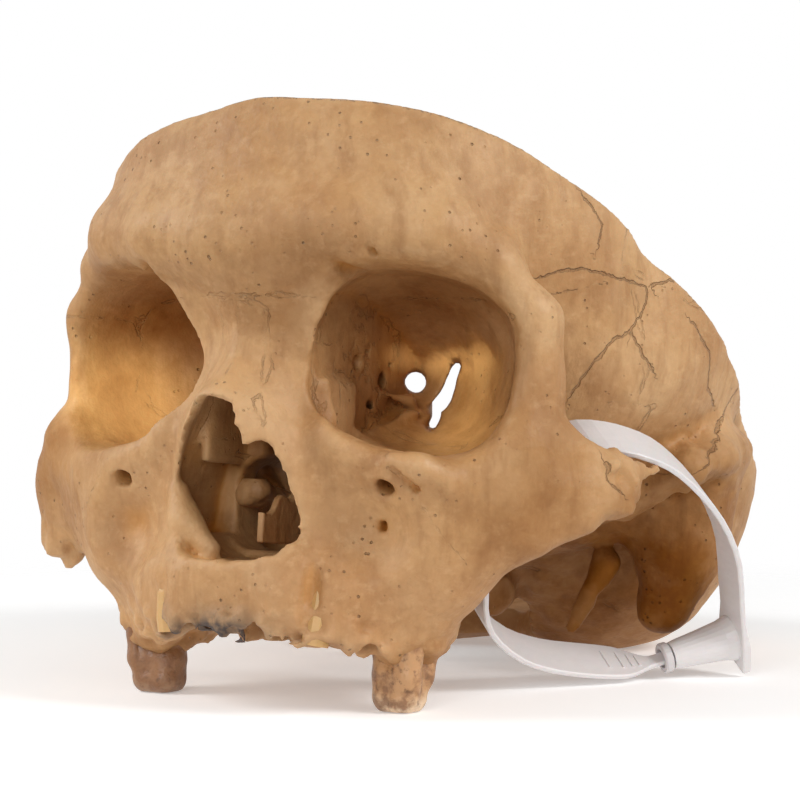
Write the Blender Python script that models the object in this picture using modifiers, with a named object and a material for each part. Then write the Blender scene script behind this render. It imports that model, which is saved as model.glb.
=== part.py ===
"""Partial human skull for a laboratory bench, with a pull-tight plastic tag hung on the broken left cheek arch.

Lengths are metres and +Z is up. The bone is first shaped as one field of signed distances in the skull's
own frame (x to its left, y to its back), then cut along its sutures into separate bones, 0.3 mm apart.
Every place in that frame is a share of the three spans below.
"""
import math
from collections import namedtuple

import bmesh
import bpy
import numpy as np
import openvdb
from mathutils import Matrix, Vector

# The spans that every share is taken of
SKULL_WIDTH = 0.100
SKULL_LENGTH = 0.100
SKULL_HEIGHT = 0.100
BAR_RADIUS = 0.010
BLEND = 0.010
TAG_SPAN = 0.100
# Walls, hollows and gaps
VAULT_WALL = 0.0055
ORBIT_WIDTH = 0.0400
ORBIT_HEIGHT = 0.0350
ORBIT_DEPTH = 0.0430
ORBIT_WALL = 0.0028
NASAL_WIDTH = 0.0280
NASAL_PLATE = 0.0025
MAGNUM_WIDTH = 0.0300
MAGNUM_LENGTH = 0.0350
SUTURE_GAP = 0.0003
FAR_AWAY = 0.020
GRID_STEP = 0.0016
GRID_MARGIN = 0.004
BAR_BLEND_share = .4
ALMOST_ALL_share = .98
FAINT_share = .002
WELD = 0.000002
SMALLEST = 0.000001
SCREW_WELD = 0.00002
MITRE_share = .4
SHARP_DEGREES = 35
ROD_SIDES = 8
BONE_FACETS = 5900
# How it lies on the table: on two worn molars and the back of the skull
PITCH_DEGREES = -5.1
REST_LIFT = 0.04490
TABLE_THICK = 0.030
TABLE_REACH_share = 3.0

SPAN = np.array([SKULL_WIDTH, SKULL_LENGTH, SKULL_HEIGHT])

# The field: (centre, radii, blend) of balls, (x, y, z, radius) along bars
VAULT_BALL_shares = [
    ((0, -.34, .46), (.54, .60, .50), 0),
    ((.20, -.52, .50), (.25, .34, .33), 1.0),
    ((0, .12, .38), (.69, .73, .62), 2.4),
    ((.33, -.12, .26), (.33, .37, .31), 1.0),
    ((0, .40, .05), (.58, .46, .44), 1.2),
    ((.24, .43, -.11), (.29, .31, .30), 1.0),
]
HOLLOW_FLOOR_share = .385
HOLLOW_BACK_share = -.44
HOLLOW_SLOPE = 4
BROW_shares = [(.04, -.915, .385, .60), (.20, -.895, .41, .62), (.36, -.80, .415, .58),
               (.45, -.715, .36, .44), (.50, -.665, .26, .42)]
GLABELLA_shares = ((0, -.885, .41), (.16, .075, .10))
ORBIT_CENTRE_shares = (.305, -.755, .165)
ORBIT_APEX_shares = (.09, -.36, .17)
ORBIT_DEPTH_shares = [-.70, -.05, .12, .28, .52, .80, 1.02]
ORBIT_GIRTH_shares = [1.25, .98, 1.03, 1.0, .79, .42, .10]
ORBIT_LEAN_DEGREES = -9
ORBIT_SQUARENESS = 2.6
ORBIT_START_shares = (-.60, .05)
ORBIT_REACH_share = .65
ORBIT_INNER_share = .118
SIDE_RIM_shares = [(.51, -.665, .26, .45), (.505, -.655, .14, .42), (.50, -.66, .02, .58), (.47, -.68, -.06, .75)]
SIDE_RIM_BACK_shares = [(.51, -.635, .26, .25), (.515, -.605, .14, .28), (.535, -.61, .04, .30)]
LOWER_RIM_shares = [(.50, -.67, 0, .60), (.41, -.735, -.055, .62), (.29, -.79, -.045, .52), (.19, -.835, .01, .46)]
INNER_RIM_shares = [(.19, -.815, 0, .40), (.135, -.795, .10, .32), (.115, -.79, .20, .32), (.12, -.835, .30, .50)]
# The bridge of the nose: height, its ridge, its flank's reach to the side and back, and how round it is
BRIDGE_shares = [(-.26, -.91, .22, -.80, 2.2), (-.18, -.925, .22, -.80, 2.0), (-.10, -.96, .21, -.80, 1.9),
                 (-.03, -1.00, .19, -.80, 1.8), (.03, -1.025, .165, -.797, 1.8), (.085, -1.00, .14, -.79, 1.6),
                 (.12, -.955, .125, -.785, 1.5), (.16, -.920, .11, -.785, 1.5), (.22, -.902, .10, -.80, 1.6),
                 (.27, -.914, .105, -.825, 1.8), (.33, -.930, .14, -.86, 2.0)]
BRIDGE_BACK_share = -.66
BRIDGE_HOLLOW_TOP_share = .20
BRIDGE_HOLLOW_SIDE_share = .035
MAXILLA_BALL_shares = ((.27, -.69, -.15), (.20, .165, .20))
MUZZLE_BALL_shares = ((0, -.81, -.24), (.19, .095, .09))
SOCKET_ARCH_shares = [(0, -.885, -.35, .33), (.11, -.875, -.35, .36), (.20, -.82, -.355, .42),
                      (.255, -.73, -.355, .46), (.275, -.63, -.35, .50), (.255, -.54, -.33, .52),
                      (.235, -.48, -.30, .45)]
SOCKET_ARCH_TOP_shares = [(0, -.875, -.27, .42), (.11, -.865, -.27, .45), (.20, -.81, -.27, .50),
                          (.25, -.73, -.27, .52), (.27, -.63, -.27, .52)]
TUBER_BALL_shares = ((.225, -.54, -.18), (.08, .10, .16))
CHEEK_PILLAR_shares = [(.46, -.675, -.14, .62), (.375, -.675, -.235, .55), (.31, -.66, -.31, .52)]
CHEEK_UPPER_shares = [(.50, -.66, .03, .44), (.570, -.605, .020, .33), (.630, -.52, -.006, .30),
                      (.668, -.42, -.033, .27)]
CHEEK_MIDDLE_shares = [(.48, -.69, -.06, .50), (.555, -.64, -.06, .40), (.620, -.545, -.055, .31),
                       (.662, -.44, -.05, .27)]
CHEEK_LOWER_shares = [(.43, -.68, -.18, .46), (.52, -.645, -.155, .40), (.59, -.58, -.12, .33),
                      (.655, -.47, -.08, .28)]
# Where the lumps between bars are smoothed away: (centre, reach, how wide the mean is)
SOFT_shares = [((.50, -.60, -.06), (.20, .20, .22), .35), ((-.50, -.60, -.08), (.20, .20, .24), .35),
               ((0, -.86, .47), (.50, .16, .12), .35), ((0, -.84, -.24), (.34, .14, .14), .25)]
RIGHT_CHEEK_shares = [(-.55, -.66, 0, .50), (-.585, -.635, -.09, .50), (-.565, -.64, -.215, .52)]
ETHMOID_BLOCK_shares = ((0, -.60, .13), (.115, .20, .21))
PALATE_shares = ((0, -.64, -.235), (.23, .24, .024))
NOSE_CAVITY_shares = ((0, -.61, -.115), (.135, .225, .095))
NOSE_ROOF_shares = ((0, -.60, .04), (.075, .21, .13))
PALATE_DOME_shares = ((0, -.62, -.35), (.20, .25, .115))
CANINE_DENT_shares = ((.28, -.915, -.17), (.10, .12, .10))
APERTURE_shares = [(0, 1.12), (.27, 1.05), (.335, .89), (.37, .75), (.45, .47), (.59, .57), (.70, .49), (.82, .24),
                   (.91, -.19), (.95, -.46), (.935, -.70), (.79, -.91), (.57, -1.05), (0, -1.11), (-.57, -1.08),
                   (-.76, -.98), (-.985, -.74), (-1.055, -.36), (-1.01, .11), (-.91, .44), (-.82, .75),
                   (-.68, .96), (-.43, 1.09), (-.21, 1.13)]
APERTURE_CENTRE_share = -.075
APERTURE_DEPTH_shares = (-1.2, -.70)
SPHENOID_BALL_shares = ((0, -.33, .03), (.15, .17, .14))
CLIVUS_shares = [(0, -.24, .02, 1.1), (0, -.06, -.17, .85)]
PETROUS_shares = [(.12, -.16, -.01, .75), (.32, -.03, .01, .85), (.55, .07, .04, 1.1)]
PETROUS_ROOT_shares = [(.12, -.16, -.07, .75), (.32, -.03, -.08, .85), (.55, .07, -.04, 1.0)]
MASTOID_shares = [(.56, .07, .02, 1.1), (.55, .08, -.15, 1.0), (.525, .06, -.30, .60)]
CONDYLE_shares = [(.115, .08, -.275, .50), (.15, -.03, -.28, .55)]
WING_RIDGE_shares = [(.54, -.40, .31, .35), (.30, -.41, .30, .32), (.08, -.36, .25, .32)]
STYLOID_shares = [(.41, 0, -.21, .32), (.36, -.06, -.35, .15)]
CREST_shares = [(.66, .12, .05, .30), (.665, -.02, .03, .32), (.645, -.13, .0, .38)]
JAW_SOCKET_shares = [(.61, -.11, -.015, .40), (.50, -.13, -.07, .38), (.38, -.12, -.10, .35)]
OUTER_WING_shares = ((.175, -.41, -.22), (.018, .085, .19))
INNER_WING_shares = ((.125, -.42, -.22), (.016, .055, .19))
WING_TURN_DEGREES = 25
# Holes at the back of the left eye socket, which let the light through: (x, y, z, radius) at both ends
ORBIT_HOLE_shares = [[(.235, -.61, .139, .25), (-.02, -.10, .176, .25)],
                     [(.327, -.61, .172, .09), (.080, -.10, .215, .09)],
                     [(.316, -.61, .150, .10), (.072, -.10, .192, .10)],
                     [(.309, -.61, .128, .11), (.066, -.10, .168, .11)],
                     [(.300, -.61, .107, .13), (.058, -.10, .145, .13)],
                     [(.291, -.61, .094, .13), (.045, -.10, .130, .13)],
                     [(.281, -.61, .088, .10), (.034, -.10, .122, .10)],
                     [(.284, -.61, .068, .09), (.036, -.10, .100, .09)],
                     [(.274, -.61, .050, .09), (.026, -.10, .080, .09)]]
MAGNUM_BACK_share = .17
MAGNUM_FOOT_share = -.6
SAW_LINE_shares = ((-1.30, .806), (-.66, .612), (-.45, .523), (0, .248), (.45, .052), (1.20, -.145))
SAW_TILT_shares = (-.165, -.165, -.110, 0, 0, 0)
SAW_TOP_share = 1.2
FIELD_LOW_shares = (-.82, -1.10, -.52)
FIELD_HIGH_shares = (.82, .98, .80)

# The territories of the bones: outlines seen from the front (x, z), the side (y, z) or above (x, y)
NASAL_shares = [(0, .275), (.055, .26), (.048, .18), (.065, .10), (.09, .03), (.09, -.02), (0, -.02)]
NASAL_DEPTH_shares = (-1.15, -.87)
LACRIMAL_shares = [(.083, .01), (.14, .01), (.14, .20), (.083, .20)]
LACRIMAL_DEPTH_shares = (-.82, -.73)
ETHMOID_shares = [(-.122, -.02), (.122, -.02), (.122, .33), (-.122, .33)]
ETHMOID_DEPTH_shares = (-.80, -.46)
PALATINE_shares = [(0, -.42), (.20, -.42), (.20, -.16), (0, -.16)]
PALATINE_DEPTH_shares = (-.53, -.38)
ZYGOMATIC_shares = [(.335, .03), (.31, -.02), (.38, -.12), (.45, -.23), (.44, -.30), (.80, -.30), (.80, .26),
                    (.44, .26), (.44, .10)]
ZYGOMATIC_DEPTH_shares = (-.95, -.53)
CHEEK_ARCH_shares = [(.55, -.22), (.80, -.22), (.80, .12), (.55, .12)]
CHEEK_ARCH_DEPTH_shares = (-.60, -.25)
FRONTAL_shares = [(-1.20, .28), (-.88, .28), (-.80, .26), (-.62, .26), (-.52, .32), (-.42, .36), (-.38, .48),
                  (-.38, 1.0), (-1.20, 1.0)]
SPHENOID_shares = [(-.60, .30), (-.52, .33), (-.42, .363), (-.37, .40), (-.33, .25), (-.29, .08), (-.26, -.08),
                   (-.24, -.45), (-.52, -.45), (-.55, -.20), (-.55, 0)]
OCCIPITAL_shares = [(.07, -.24), (.09, -.14), (.17, -.02), (.24, .06), (.36, .22), (.48, .44), (.60, .60),
                    (.60, 1.2), (-.60, 1.2), (-.60, .60), (-.48, .44), (-.36, .22), (-.24, .06), (-.17, -.02),
                    (-.09, -.14), (-.07, -.24)]
PARIETAL_shares = [(.08, .60), (.14, .18), (.24, .08), (.45, -.01), (.52, -.03), (.90, -.03), (.90, .60)]
PARIETAL_FRAGMENT_shares = [(-.40, .40), (-.30, .375), (-.20, .335), (-.12, .345), (-.12, .80), (-.40, .80)]
SIDE_REACH_shares = (-.90, .90)
HALF_REACH_shares = (.0, .90)
TALL_REACH_shares = (-.60, 1.0)
MAXILLA_shares = [(-1.20, -.60), (-.38, -.60), (-.38, .60), (-1.20, .60)]
TEMPORAL_shares = [(-.38, -.60), (1.20, -.60), (1.20, .60), (-.38, .60)]

# Plates inside the nose
PLATE_THICK = 0.0016
SEPTUM_shares = [(-.80, .19), (-.48, .19), (-.48, -.01), (-.80, .07)]
VOMER_shares = [(-.79, -.195), (-.44, -.195), (-.47, -.02), (-.79, .06)]
CONCHA_shares = [(.128, -.105), (.112, -.090), (.090, -.093), (.076, -.112), (.074, -.138), (.086, -.152)]
CONCHA_DEPTH_shares = (-.79, -.52)

# Teeth: rings of (height, half breadth, half length, shift to the side)
MOLAR_RING_shares = [(-.300, .026, .024, 0), (-.345, .038, .034, 0), (-.395, .047, .040, 0), (-.425, .051, .044, 0),
                     (-.462, .060, .052, .002), (-.490, .062, .054, .003), (-.520, .058, .050, .003)]
MOLAR_LEFT_shares = (.262, -.668, 0)
MOLAR_RIGHT_shares = (-.296, -.665, 0)
MOLAR_SQUARENESS = 3.0
MOLAR_SIDES = 16
# Rods that are cut away: sockets of lost teeth, and the small holes of the face
LOST_TOOTH_shares = [
    [(.045, -.885, -.46, .26), (.045, -.875, -.30, .16)],
    [(-.045, -.885, -.46, .26), (-.045, -.875, -.30, .16)],
    [(.105, -.872, -.46, .24), (.105, -.862, -.30, .15)],
    [(-.105, -.872, -.46, .24), (-.105, -.862, -.30, .15)],
    [(.238, -.775, -.46, .28), (.236, -.770, -.30, .17)],
    [(-.232, -.780, -.46, .28), (-.232, -.775, -.30, .17)],
    [(.272, -.575, -.46, .34), (.270, -.575, -.28, .22)],
]
FORAMEN_shares = [
    [(.30, -.86, -.09, .20), (.285, -.74, -.03, .18)],
    [(-.30, -.86, -.09, .20), (-.285, -.74, -.03, .18)],
    [(.215, -1.0, .335, .15), (.215, -.80, .33, .15)],
    [(-.215, -1.0, .335, .15), (-.215, -.80, .33, .15)],
    [(.275, -.86, -.155, .11), (.275, -.77, -.15, .11)],
    [(.182, -.890, -.225, .20), (.178, -.890, -.30, .20)],
    [(-.150, -.912, -.265, .17), (-.150, -.912, -.31, .17)],
]
CANINE_ROOT_shares = [(.176, -.835, -.20, .18), (.180, -.841, -.25, .25), (.178, -.848, -.31, .28),
                      (.173, -.850, -.36, .28), (.170, -.852, -.385, .26)]
RIGHT_ROOT_shares = [(-.150, -.868, -.25, .16), (-.150, -.872, -.30, .24), (-.147, -.872, -.35, .26),
                     (-.145, -.870, -.375, .24)]
ROOT_SIDES = 12

# The tag's loop, in its own plane: (along, up, across the band, width, thickness) of the band's mid line
TAG_CORNER_shares = (0.32284, -0.46175, -0.15148)
TAG_ANCHOR_shares = (-.255, 0, -.12)
TAG_NORMAL_shares = (.658, -.491, -.571)
TAG_PIVOT_shares = (-.03, .24, -.055)
TAG_BAND_WIDTH = 0.0110
TAG_BAND_THICK = 0.0012
TAG_PATH_shares = [
    (.438, -.255, -.055, 1.04, 1.6), (.4215, -.219, -.055, 1.12, 1.6), (.405, -.182, -.055, 1.10, 1.5),
    (.385, -.143, -.055, 1.0, 1.0), (.355, -.083, -.055, 1.0, 1.0), (.305, .020, -.055, 1.0, 1.0),
    (.245, .100, -.055, 1.0, 1.0), (.179, .163, -.055, 1.0, 1.0), (.103, .218, -.055, 1.0, 1.0),
    (.040, .253, -.055, 1.0, 1.0), (-.020, .272, -.055, 1.0, 1.0), (-.070, .276, -.065, 1.0, 1.0),
    (-.120, .264, -.085, 1.0, 1.0), (-.165, .230, -.105, 1.0, 1.0), (-.200, .180, -.120, 1.0, 1.0),
    (-.225, .120, -.120, 1.0, 1.0), (-.245, .060, -.110, 1.0, 1.0), (-.255, -.010, -.090, 1.0, 1.0),
    (-.255, -.080, -.070, 1.0, 1.0), (-.235, -.145, -.055, 1.0, 1.0), (-.190, -.195, -.055, 1.0, 1.0),
    (-.120, -.239, -.055, 1.0, 1.0), (-.060, -.259, -.055, 1.0, 1.0), (0, -.270, -.055, 1.0, 1.0),
    (.075, -.276, -.055, 1.0, 1.0), (.150, -.279, -.055, .90, 1.0), (.195, -.280, -.055, .55, 1.0),
    (.225, -.277, -.055, .31, 1.0), (.262, -.262, -.055, .30, 1.0), (.320, -.238, -.055, .30, 1.0),
]
TAG_STEPS = 2
TAG_CORNER_share = .22
CASE_BASE_shares = (.4155, -.200, -.055)
CASE_SMALL_shares = (.262, -.262, -.055)
CASE_PROFILE_shares = [(.30, 0), (.30, .235), (.93, .235), (.93, .29), (.84, .32), (.55, .37), (.22, .44), (.10, .50),
                       (0, .52), (0, 0)]
COLLAR_PROFILE_shares = [(1.07, .215), (1.07, .30), (1.05, .33), (.975, .33), (.955, .30), (.955, .215)]
CASE_SIDES = 24
# Grip ribs: (first step of the strap's course, last step, share of the strap's width)
RIB_LOTS = [(49, 53, .5), (28, 32, .55)]
RIB_WIDTH = 0.0007
RIB_RISE = 0.0003

Shape = namedtuple("Shape", "distance low high")
Colour = namedtuple("Colour", "red green blue")
BONE_COLOUR = Colour(.56, .38, .19)
TOOTH_COLOUR = Colour(.62, .47, .28)
TAG_COLOUR = Colour(.62, .62, .63)
INSERT_COLOUR = Colour(.50, .50, .51)


def spot(shares):
    """A place in the skull's own frame, from its shares of width, length and height."""
    return np.array(shares, float) * SPAN


def turned(x, y, z, centre, degrees):
    """Places taken from a centre, and turned about the vertical through it."""
    x, y, z = x - centre[0], y - centre[1], z - centre[2]
    c, s = math.cos(math.radians(degrees)), math.sin(math.radians(degrees))
    return c * x + s * y, c * y - s * x, z


def ball(centre_shares, radius_shares):
    """An ellipsoid."""
    centre = spot(centre_shares)
    radii = spot(radius_shares)

    def distance(x, y, z):
        x, y, z = x - centre[0], y - centre[1], z - centre[2]
        near = np.sqrt((x / radii[0]) ** 2 + (y / radii[1]) ** 2 + (z / radii[2]) ** 2)
        steep = np.sqrt((x / radii[0] ** 2) ** 2 + (y / radii[1] ** 2) ** 2 + (z / radii[2] ** 2) ** 2)
        return near * (near - 1) / np.maximum(steep, SMALLEST)

    return Shape(distance, centre - radii, centre + radii)


def bar(point_shares):
    """A round bar through places with a radius each."""
    points = [spot(point[:3]) for point in point_shares]
    radii = [point[3] * BAR_RADIUS for point in point_shares]

    def distance(x, y, z):
        best = None
        for i in range(len(points) - 1):
            run = points[i + 1] - points[i]
            dx, dy, dz = x - points[i][0], y - points[i][1], z - points[i][2]
            along = np.clip((dx * run[0] + dy * run[1] + dz * run[2]) / (run @ run), 0, 1)
            gap = np.sqrt((dx - along * run[0]) ** 2 + (dy - along * run[1]) ** 2 + (dz - along * run[2]) ** 2)
            gap = gap - radii[i] - along * (radii[i + 1] - radii[i])
            best = gap if best is None else soft_least(best, gap, BAR_BLEND_share * BLEND)
        return best

    low = np.min([point - radius for point, radius in zip(points, radii)], axis=0)
    high = np.max([point + radius for point, radius in zip(points, radii)], axis=0)
    return Shape(distance, low, high)


def slab(centre_shares, half_shares, rounding_share, degrees=0):
    """A block with rounded edges."""
    centre, half = spot(centre_shares), spot(half_shares)
    edge = min(rounding_share * BAR_RADIUS, half.min() * ALMOST_ALL_share)

    def distance(x, y, z):
        x, y, z = turned(x, y, z, centre, degrees)
        x, y, z = np.abs(x) - half[0] + edge, np.abs(y) - half[1] + edge, np.abs(z) - half[2] + edge
        outside = np.sqrt(np.maximum(x, 0) ** 2 + np.maximum(y, 0) ** 2 + np.maximum(z, 0) ** 2)
        return outside + np.minimum(np.maximum(x, np.maximum(y, z)), 0) - edge

    reach = half if not degrees else np.full(3, np.linalg.norm(half))
    return Shape(distance, centre - reach, centre + reach)


def opening(outline, front, back):
    """An outline seen from the front, pushed through along the skull's length."""
    def distance(x, y, z):
        x, z = x + 0 * z, z + 0 * x
        best = np.full(x.shape, FAR_AWAY)
        inside = np.zeros(x.shape, bool)
        for (ax, az), (bx, bz) in zip(outline, outline[1:] + outline[:1]):
            ex, ez = bx - ax, bz - az
            along = np.clip(((x - ax) * ex + (z - az) * ez) / (ex * ex + ez * ez), 0, 1)
            best = np.minimum(best, np.hypot(x - ax - along * ex, z - az - along * ez))
            if az != bz:
                inside ^= ((az > z) != (bz > z)) & (x < ex * (z - az) / ez + ax)
        flat = np.where(inside, -best, best)
        return np.maximum(flat + 0 * y, np.maximum(y - back, front - y))

    points = np.array(outline)
    low = np.array([points[:, 0].min(), front, points[:, 1].min()])
    high = np.array([points[:, 0].max(), back, points[:, 1].max()])
    return Shape(distance, low, high)


def bridge(inset, side_share, low_share, high_share):
    """The bridge of the nose: an arched roof whose ridge and flanks change with height."""
    rows = np.array(BRIDGE_shares).T
    side = side_share * SKULL_WIDTH
    back = BRIDGE_BACK_share * SKULL_LENGTH
    low, high = low_share * SKULL_HEIGHT, high_share * SKULL_HEIGHT

    def distance(x, y, z):
        ridge, reach, flank, power = [np.interp(z / SKULL_HEIGHT, rows[0], row).astype(np.float32) for row in rows[1:]]
        ridge, reach, flank = ridge * SKULL_LENGTH, reach * SKULL_WIDTH, flank * SKULL_LENGTH
        part = np.minimum(np.abs(x) / reach, 1)
        surface = ridge + (flank - ridge) * part ** power + inset
        slope = (flank - ridge) * power * part ** (power - 1) / reach
        gap = (surface - y) / np.sqrt(1 + slope ** 2)
        gap = np.maximum(gap, np.abs(x) - reach + side)
        return np.maximum(np.maximum(gap, y - back), np.maximum(low - z, z - high))

    width = rows[2].max() * SKULL_WIDTH
    return Shape(distance, np.array([-width, rows[1].min() * SKULL_LENGTH, low]), np.array([width, back, high]))


def orbit(wall, start_share):
    """The eye socket: a squarish cone that leans and narrows toward its apex, with a straight inner wall."""
    centre, apex = spot(ORBIT_CENTRE_shares), spot(ORBIT_APEX_shares)
    axis = (apex - centre) / np.linalg.norm(apex - centre)
    side = np.cross(axis, [0, 0, 1.0])
    side = side / np.linalg.norm(side)
    side = side if side[0] > 0 else -side
    over = np.cross(axis, side)
    over = over if over[2] > 0 else -over
    lean = math.radians(ORBIT_LEAN_DEGREES)
    across = side * math.cos(lean) + over * math.sin(lean)
    up = over * math.cos(lean) - side * math.sin(lean)
    depths = np.array(ORBIT_DEPTH_shares) * ORBIT_DEPTH
    start = start_share * ORBIT_DEPTH
    power = ORBIT_SQUARENESS

    def distance(x, y, z):
        inner = ORBIT_INNER_share * SKULL_WIDTH - wall - x
        x, y, z = x - centre[0], y - centre[1], z - centre[2]
        deep = x * axis[0] + y * axis[1] + z * axis[2]
        u = np.abs(x * across[0] + y * across[1] + z * across[2])
        v = np.abs(x * up[0] + y * up[1] + z * up[2])
        girth = np.interp(deep, depths, ORBIT_GIRTH_shares).astype(np.float32)
        half_u, half_v = girth * ORBIT_WIDTH / 2 + wall, girth * ORBIT_HEIGHT / 2 + wall
        ring = ((u / half_u) ** power + (v / half_v) ** power) ** (1 / power)
        gap = (ring - 1) * np.minimum(half_u, half_v)
        return np.maximum(np.maximum(gap, inner), np.maximum(deep - depths[-1] - wall, start - deep))

    ends = np.array([centre + axis * start, centre + axis * (ORBIT_DEPTH + wall)])
    reach = ORBIT_REACH_share * ORBIT_WIDTH + wall
    return Shape(distance, ends.min(axis=0) - reach, ends.max(axis=0) + reach)


def soft_least(a, b, width):
    """The lesser of two distances, rounded over a width where they meet."""
    if width <= 0:
        return np.minimum(a, b)
    h = np.clip(.5 + .5 * (b - a) / width, 0, 1)
    return b + (a - b) * h - width * h * (1 - h)


def blurred(values, cells):
    """The mean over a block of cells, twice."""
    for _ in range(2):
        for axis in range(3):
            count = values.shape[axis]
            total = np.cumsum(values, axis=axis, dtype=np.float64)
            high = np.minimum(np.arange(count) + cells, count - 1)
            low = np.maximum(np.arange(count) - cells - 1, -1)
            shape = [1, 1, 1]
            shape[axis] = count
            before = np.take(total, np.maximum(low, 0), axis=axis) * (low >= 0).reshape(shape)
            values = (np.take(total, high, axis=axis) - before) / (high - low).reshape(shape)
    return values.astype(np.float32)


class Field:
    """Signed distances on a grid: below zero is bone."""

    def __init__(self, step):
        self.low, self.step = spot(FIELD_LOW_shares), step
        self.size = np.ceil((spot(FIELD_HIGH_shares) - self.low) / step).astype(int) + 1
        self.values = np.full(self.size, FAR_AWAY, np.float32)
        self.axes = [(self.low[i] + step * np.arange(self.size[i])).astype(np.float32) for i in range(3)]

    def places(self, window=(slice(None),) * 3):
        return (self.axes[0][window[0]][:, None, None], self.axes[1][window[1]][None, :, None],
                self.axes[2][window[2]][None, None, :])

    def blend(self, shape, blend_share, adding, mirrored):
        low, high = shape.low.copy(), shape.high.copy()
        if mirrored:
            low[0] = -high[0]
        width = blend_share * BLEND
        window = []
        for i in range(3):
            start = int((low[i] - width - GRID_MARGIN - self.low[i]) // self.step)
            stop = int((high[i] + width + GRID_MARGIN - self.low[i]) // self.step) + 2
            window.append(slice(max(start, 0), max(min(stop, self.size[i]), 0)))
        window = tuple(window)
        x, y, z = self.places(window)
        gap = shape.distance(np.abs(x) if mirrored else x, y, z)
        sign = 1 if adding else -1
        self.values[window] = sign * soft_least(sign * self.values[window], gap, width)

    def join(self, *shapes, blend_share=0, mirrored=False):
        for shape in shapes:
            self.blend(shape, blend_share, True, mirrored)

    def cut(self, *shapes, blend_share=0, mirrored=False):
        for shape in shapes:
            self.blend(shape, blend_share, False, mirrored)

    def keep_below(self, gap):
        self.values = np.maximum(self.values, gap).astype(np.float32)

    def soften(self, centre_shares, reach_shares, width_share):
        """Smooths the surface round a place."""
        x, y, z = self.places()
        away = [(at - middle) / reach for at, middle, reach in zip((x, y, z), spot(centre_shares), spot(reach_shares))]
        part = np.exp(-away[0] ** 2 - away[1] ** 2 - away[2] ** 2).astype(np.float32)
        mean = blurred(np.clip(self.values, -BLEND, BLEND), int(width_share * BLEND / self.step))
        self.values = np.where(part > FAINT_share, self.values * (1 - part) + mean * part, self.values).astype(np.float32)


def skull(step):
    """The whole skull as one field, before it is cut along its sutures."""
    field = Field(step)
    join, cut = field.join, field.cut
    for centre, radii, blend_share in VAULT_BALL_shares:
        join(ball(centre, radii), blend_share=blend_share, mirrored=True)
    x, y, z = field.places()
    floor = HOLLOW_FLOOR_share * SKULL_HEIGHT
    floor = floor - HOLLOW_SLOPE * np.maximum(0, y - HOLLOW_BACK_share * SKULL_LENGTH)
    field.keep_below(-np.maximum(field.values + VAULT_WALL, floor - z))
    # Base
    join(ball(*SPHENOID_BALL_shares), bar(CLIVUS_shares), blend_share=.5)
    join(bar(PETROUS_shares), bar(PETROUS_ROOT_shares), bar(MASTOID_shares), blend_share=.6, mirrored=True)
    join(bar(CONDYLE_shares), bar(WING_RIDGE_shares), bar(STYLOID_shares), blend_share=.3, mirrored=True)
    join(bar(CREST_shares), bar(JAW_SOCKET_shares), blend_share=.5, mirrored=True)
    join(slab(*OUTER_WING_shares, .15, WING_TURN_DEGREES), slab(*INNER_WING_shares, .15), blend_share=.2,
         mirrored=True)
    # Face
    join(bar(BROW_shares), blend_share=.7, mirrored=True)
    join(ball(*GLABELLA_shares), blend_share=.8)
    join(orbit(ORBIT_WALL, ORBIT_START_shares[1]), blend_share=.3, mirrored=True)
    join(slab(*ETHMOID_BLOCK_shares, .5), blend_share=.3)
    join(bar(SIDE_RIM_shares), bar(SIDE_RIM_BACK_shares), blend_share=.6, mirrored=True)
    join(bar(LOWER_RIM_shares), bar(INNER_RIM_shares), blend_share=.4, mirrored=True)
    join(ball(*MAXILLA_BALL_shares), blend_share=.6, mirrored=True)
    join(ball(*MUZZLE_BALL_shares), blend_share=.5)
    join(bar(SOCKET_ARCH_TOP_shares), bar(SOCKET_ARCH_shares), blend_share=.5, mirrored=True)
    join(bridge(0, 0, BRIDGE_shares[0][0], BRIDGE_shares[-1][0]), blend_share=.5)
    join(ball(*TUBER_BALL_shares), blend_share=.4, mirrored=True)
    join(bar(CHEEK_PILLAR_shares), blend_share=.6, mirrored=True)
    join(bar(CHEEK_UPPER_shares), bar(CHEEK_MIDDLE_shares), bar(CHEEK_LOWER_shares), blend_share=.4, mirrored=True)
    join(slab(*PALATE_shares, .2), blend_share=.3)
    join(bar(RIGHT_CHEEK_shares), blend_share=.6)
    for centre, reach, width_share in SOFT_shares:
        field.soften(centre, reach, width_share)
    # Hollows
    cut(orbit(0, ORBIT_START_shares[0]), blend_share=.12, mirrored=True)
    cut(slab(*NOSE_CAVITY_shares, .6), slab(*NOSE_ROOF_shares, .4), blend_share=.1)
    cut(bridge(NASAL_PLATE, BRIDGE_HOLLOW_SIDE_share, BRIDGE_shares[1][0], BRIDGE_HOLLOW_TOP_share), blend_share=.1)
    cut(ball(*PALATE_DOME_shares), blend_share=.3)
    middle = APERTURE_CENTRE_share * SKULL_HEIGHT
    outline = [(x_share * NASAL_WIDTH / 2, z_share * NASAL_WIDTH / 2 + middle) for x_share, z_share in APERTURE_shares]
    front, back = [share * SKULL_LENGTH for share in APERTURE_DEPTH_shares]
    cut(opening(outline, front, back), blend_share=.1)
    cut(ball(*CANINE_DENT_shares), blend_share=.5, mirrored=True)
    for point_shares in ORBIT_HOLE_shares:
        cut(bar(point_shares))
    along = (y - MAGNUM_BACK_share * SKULL_LENGTH) / MAGNUM_LENGTH
    tunnel = (np.sqrt((2 * x / MAGNUM_WIDTH) ** 2 + (2 * along) ** 2) - 1) * MAGNUM_WIDTH / 2
    field.keep_below(-np.maximum(tunnel + 0 * z, np.maximum(z, MAGNUM_FOOT_share * SKULL_HEIGHT - z)))
    return field


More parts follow.
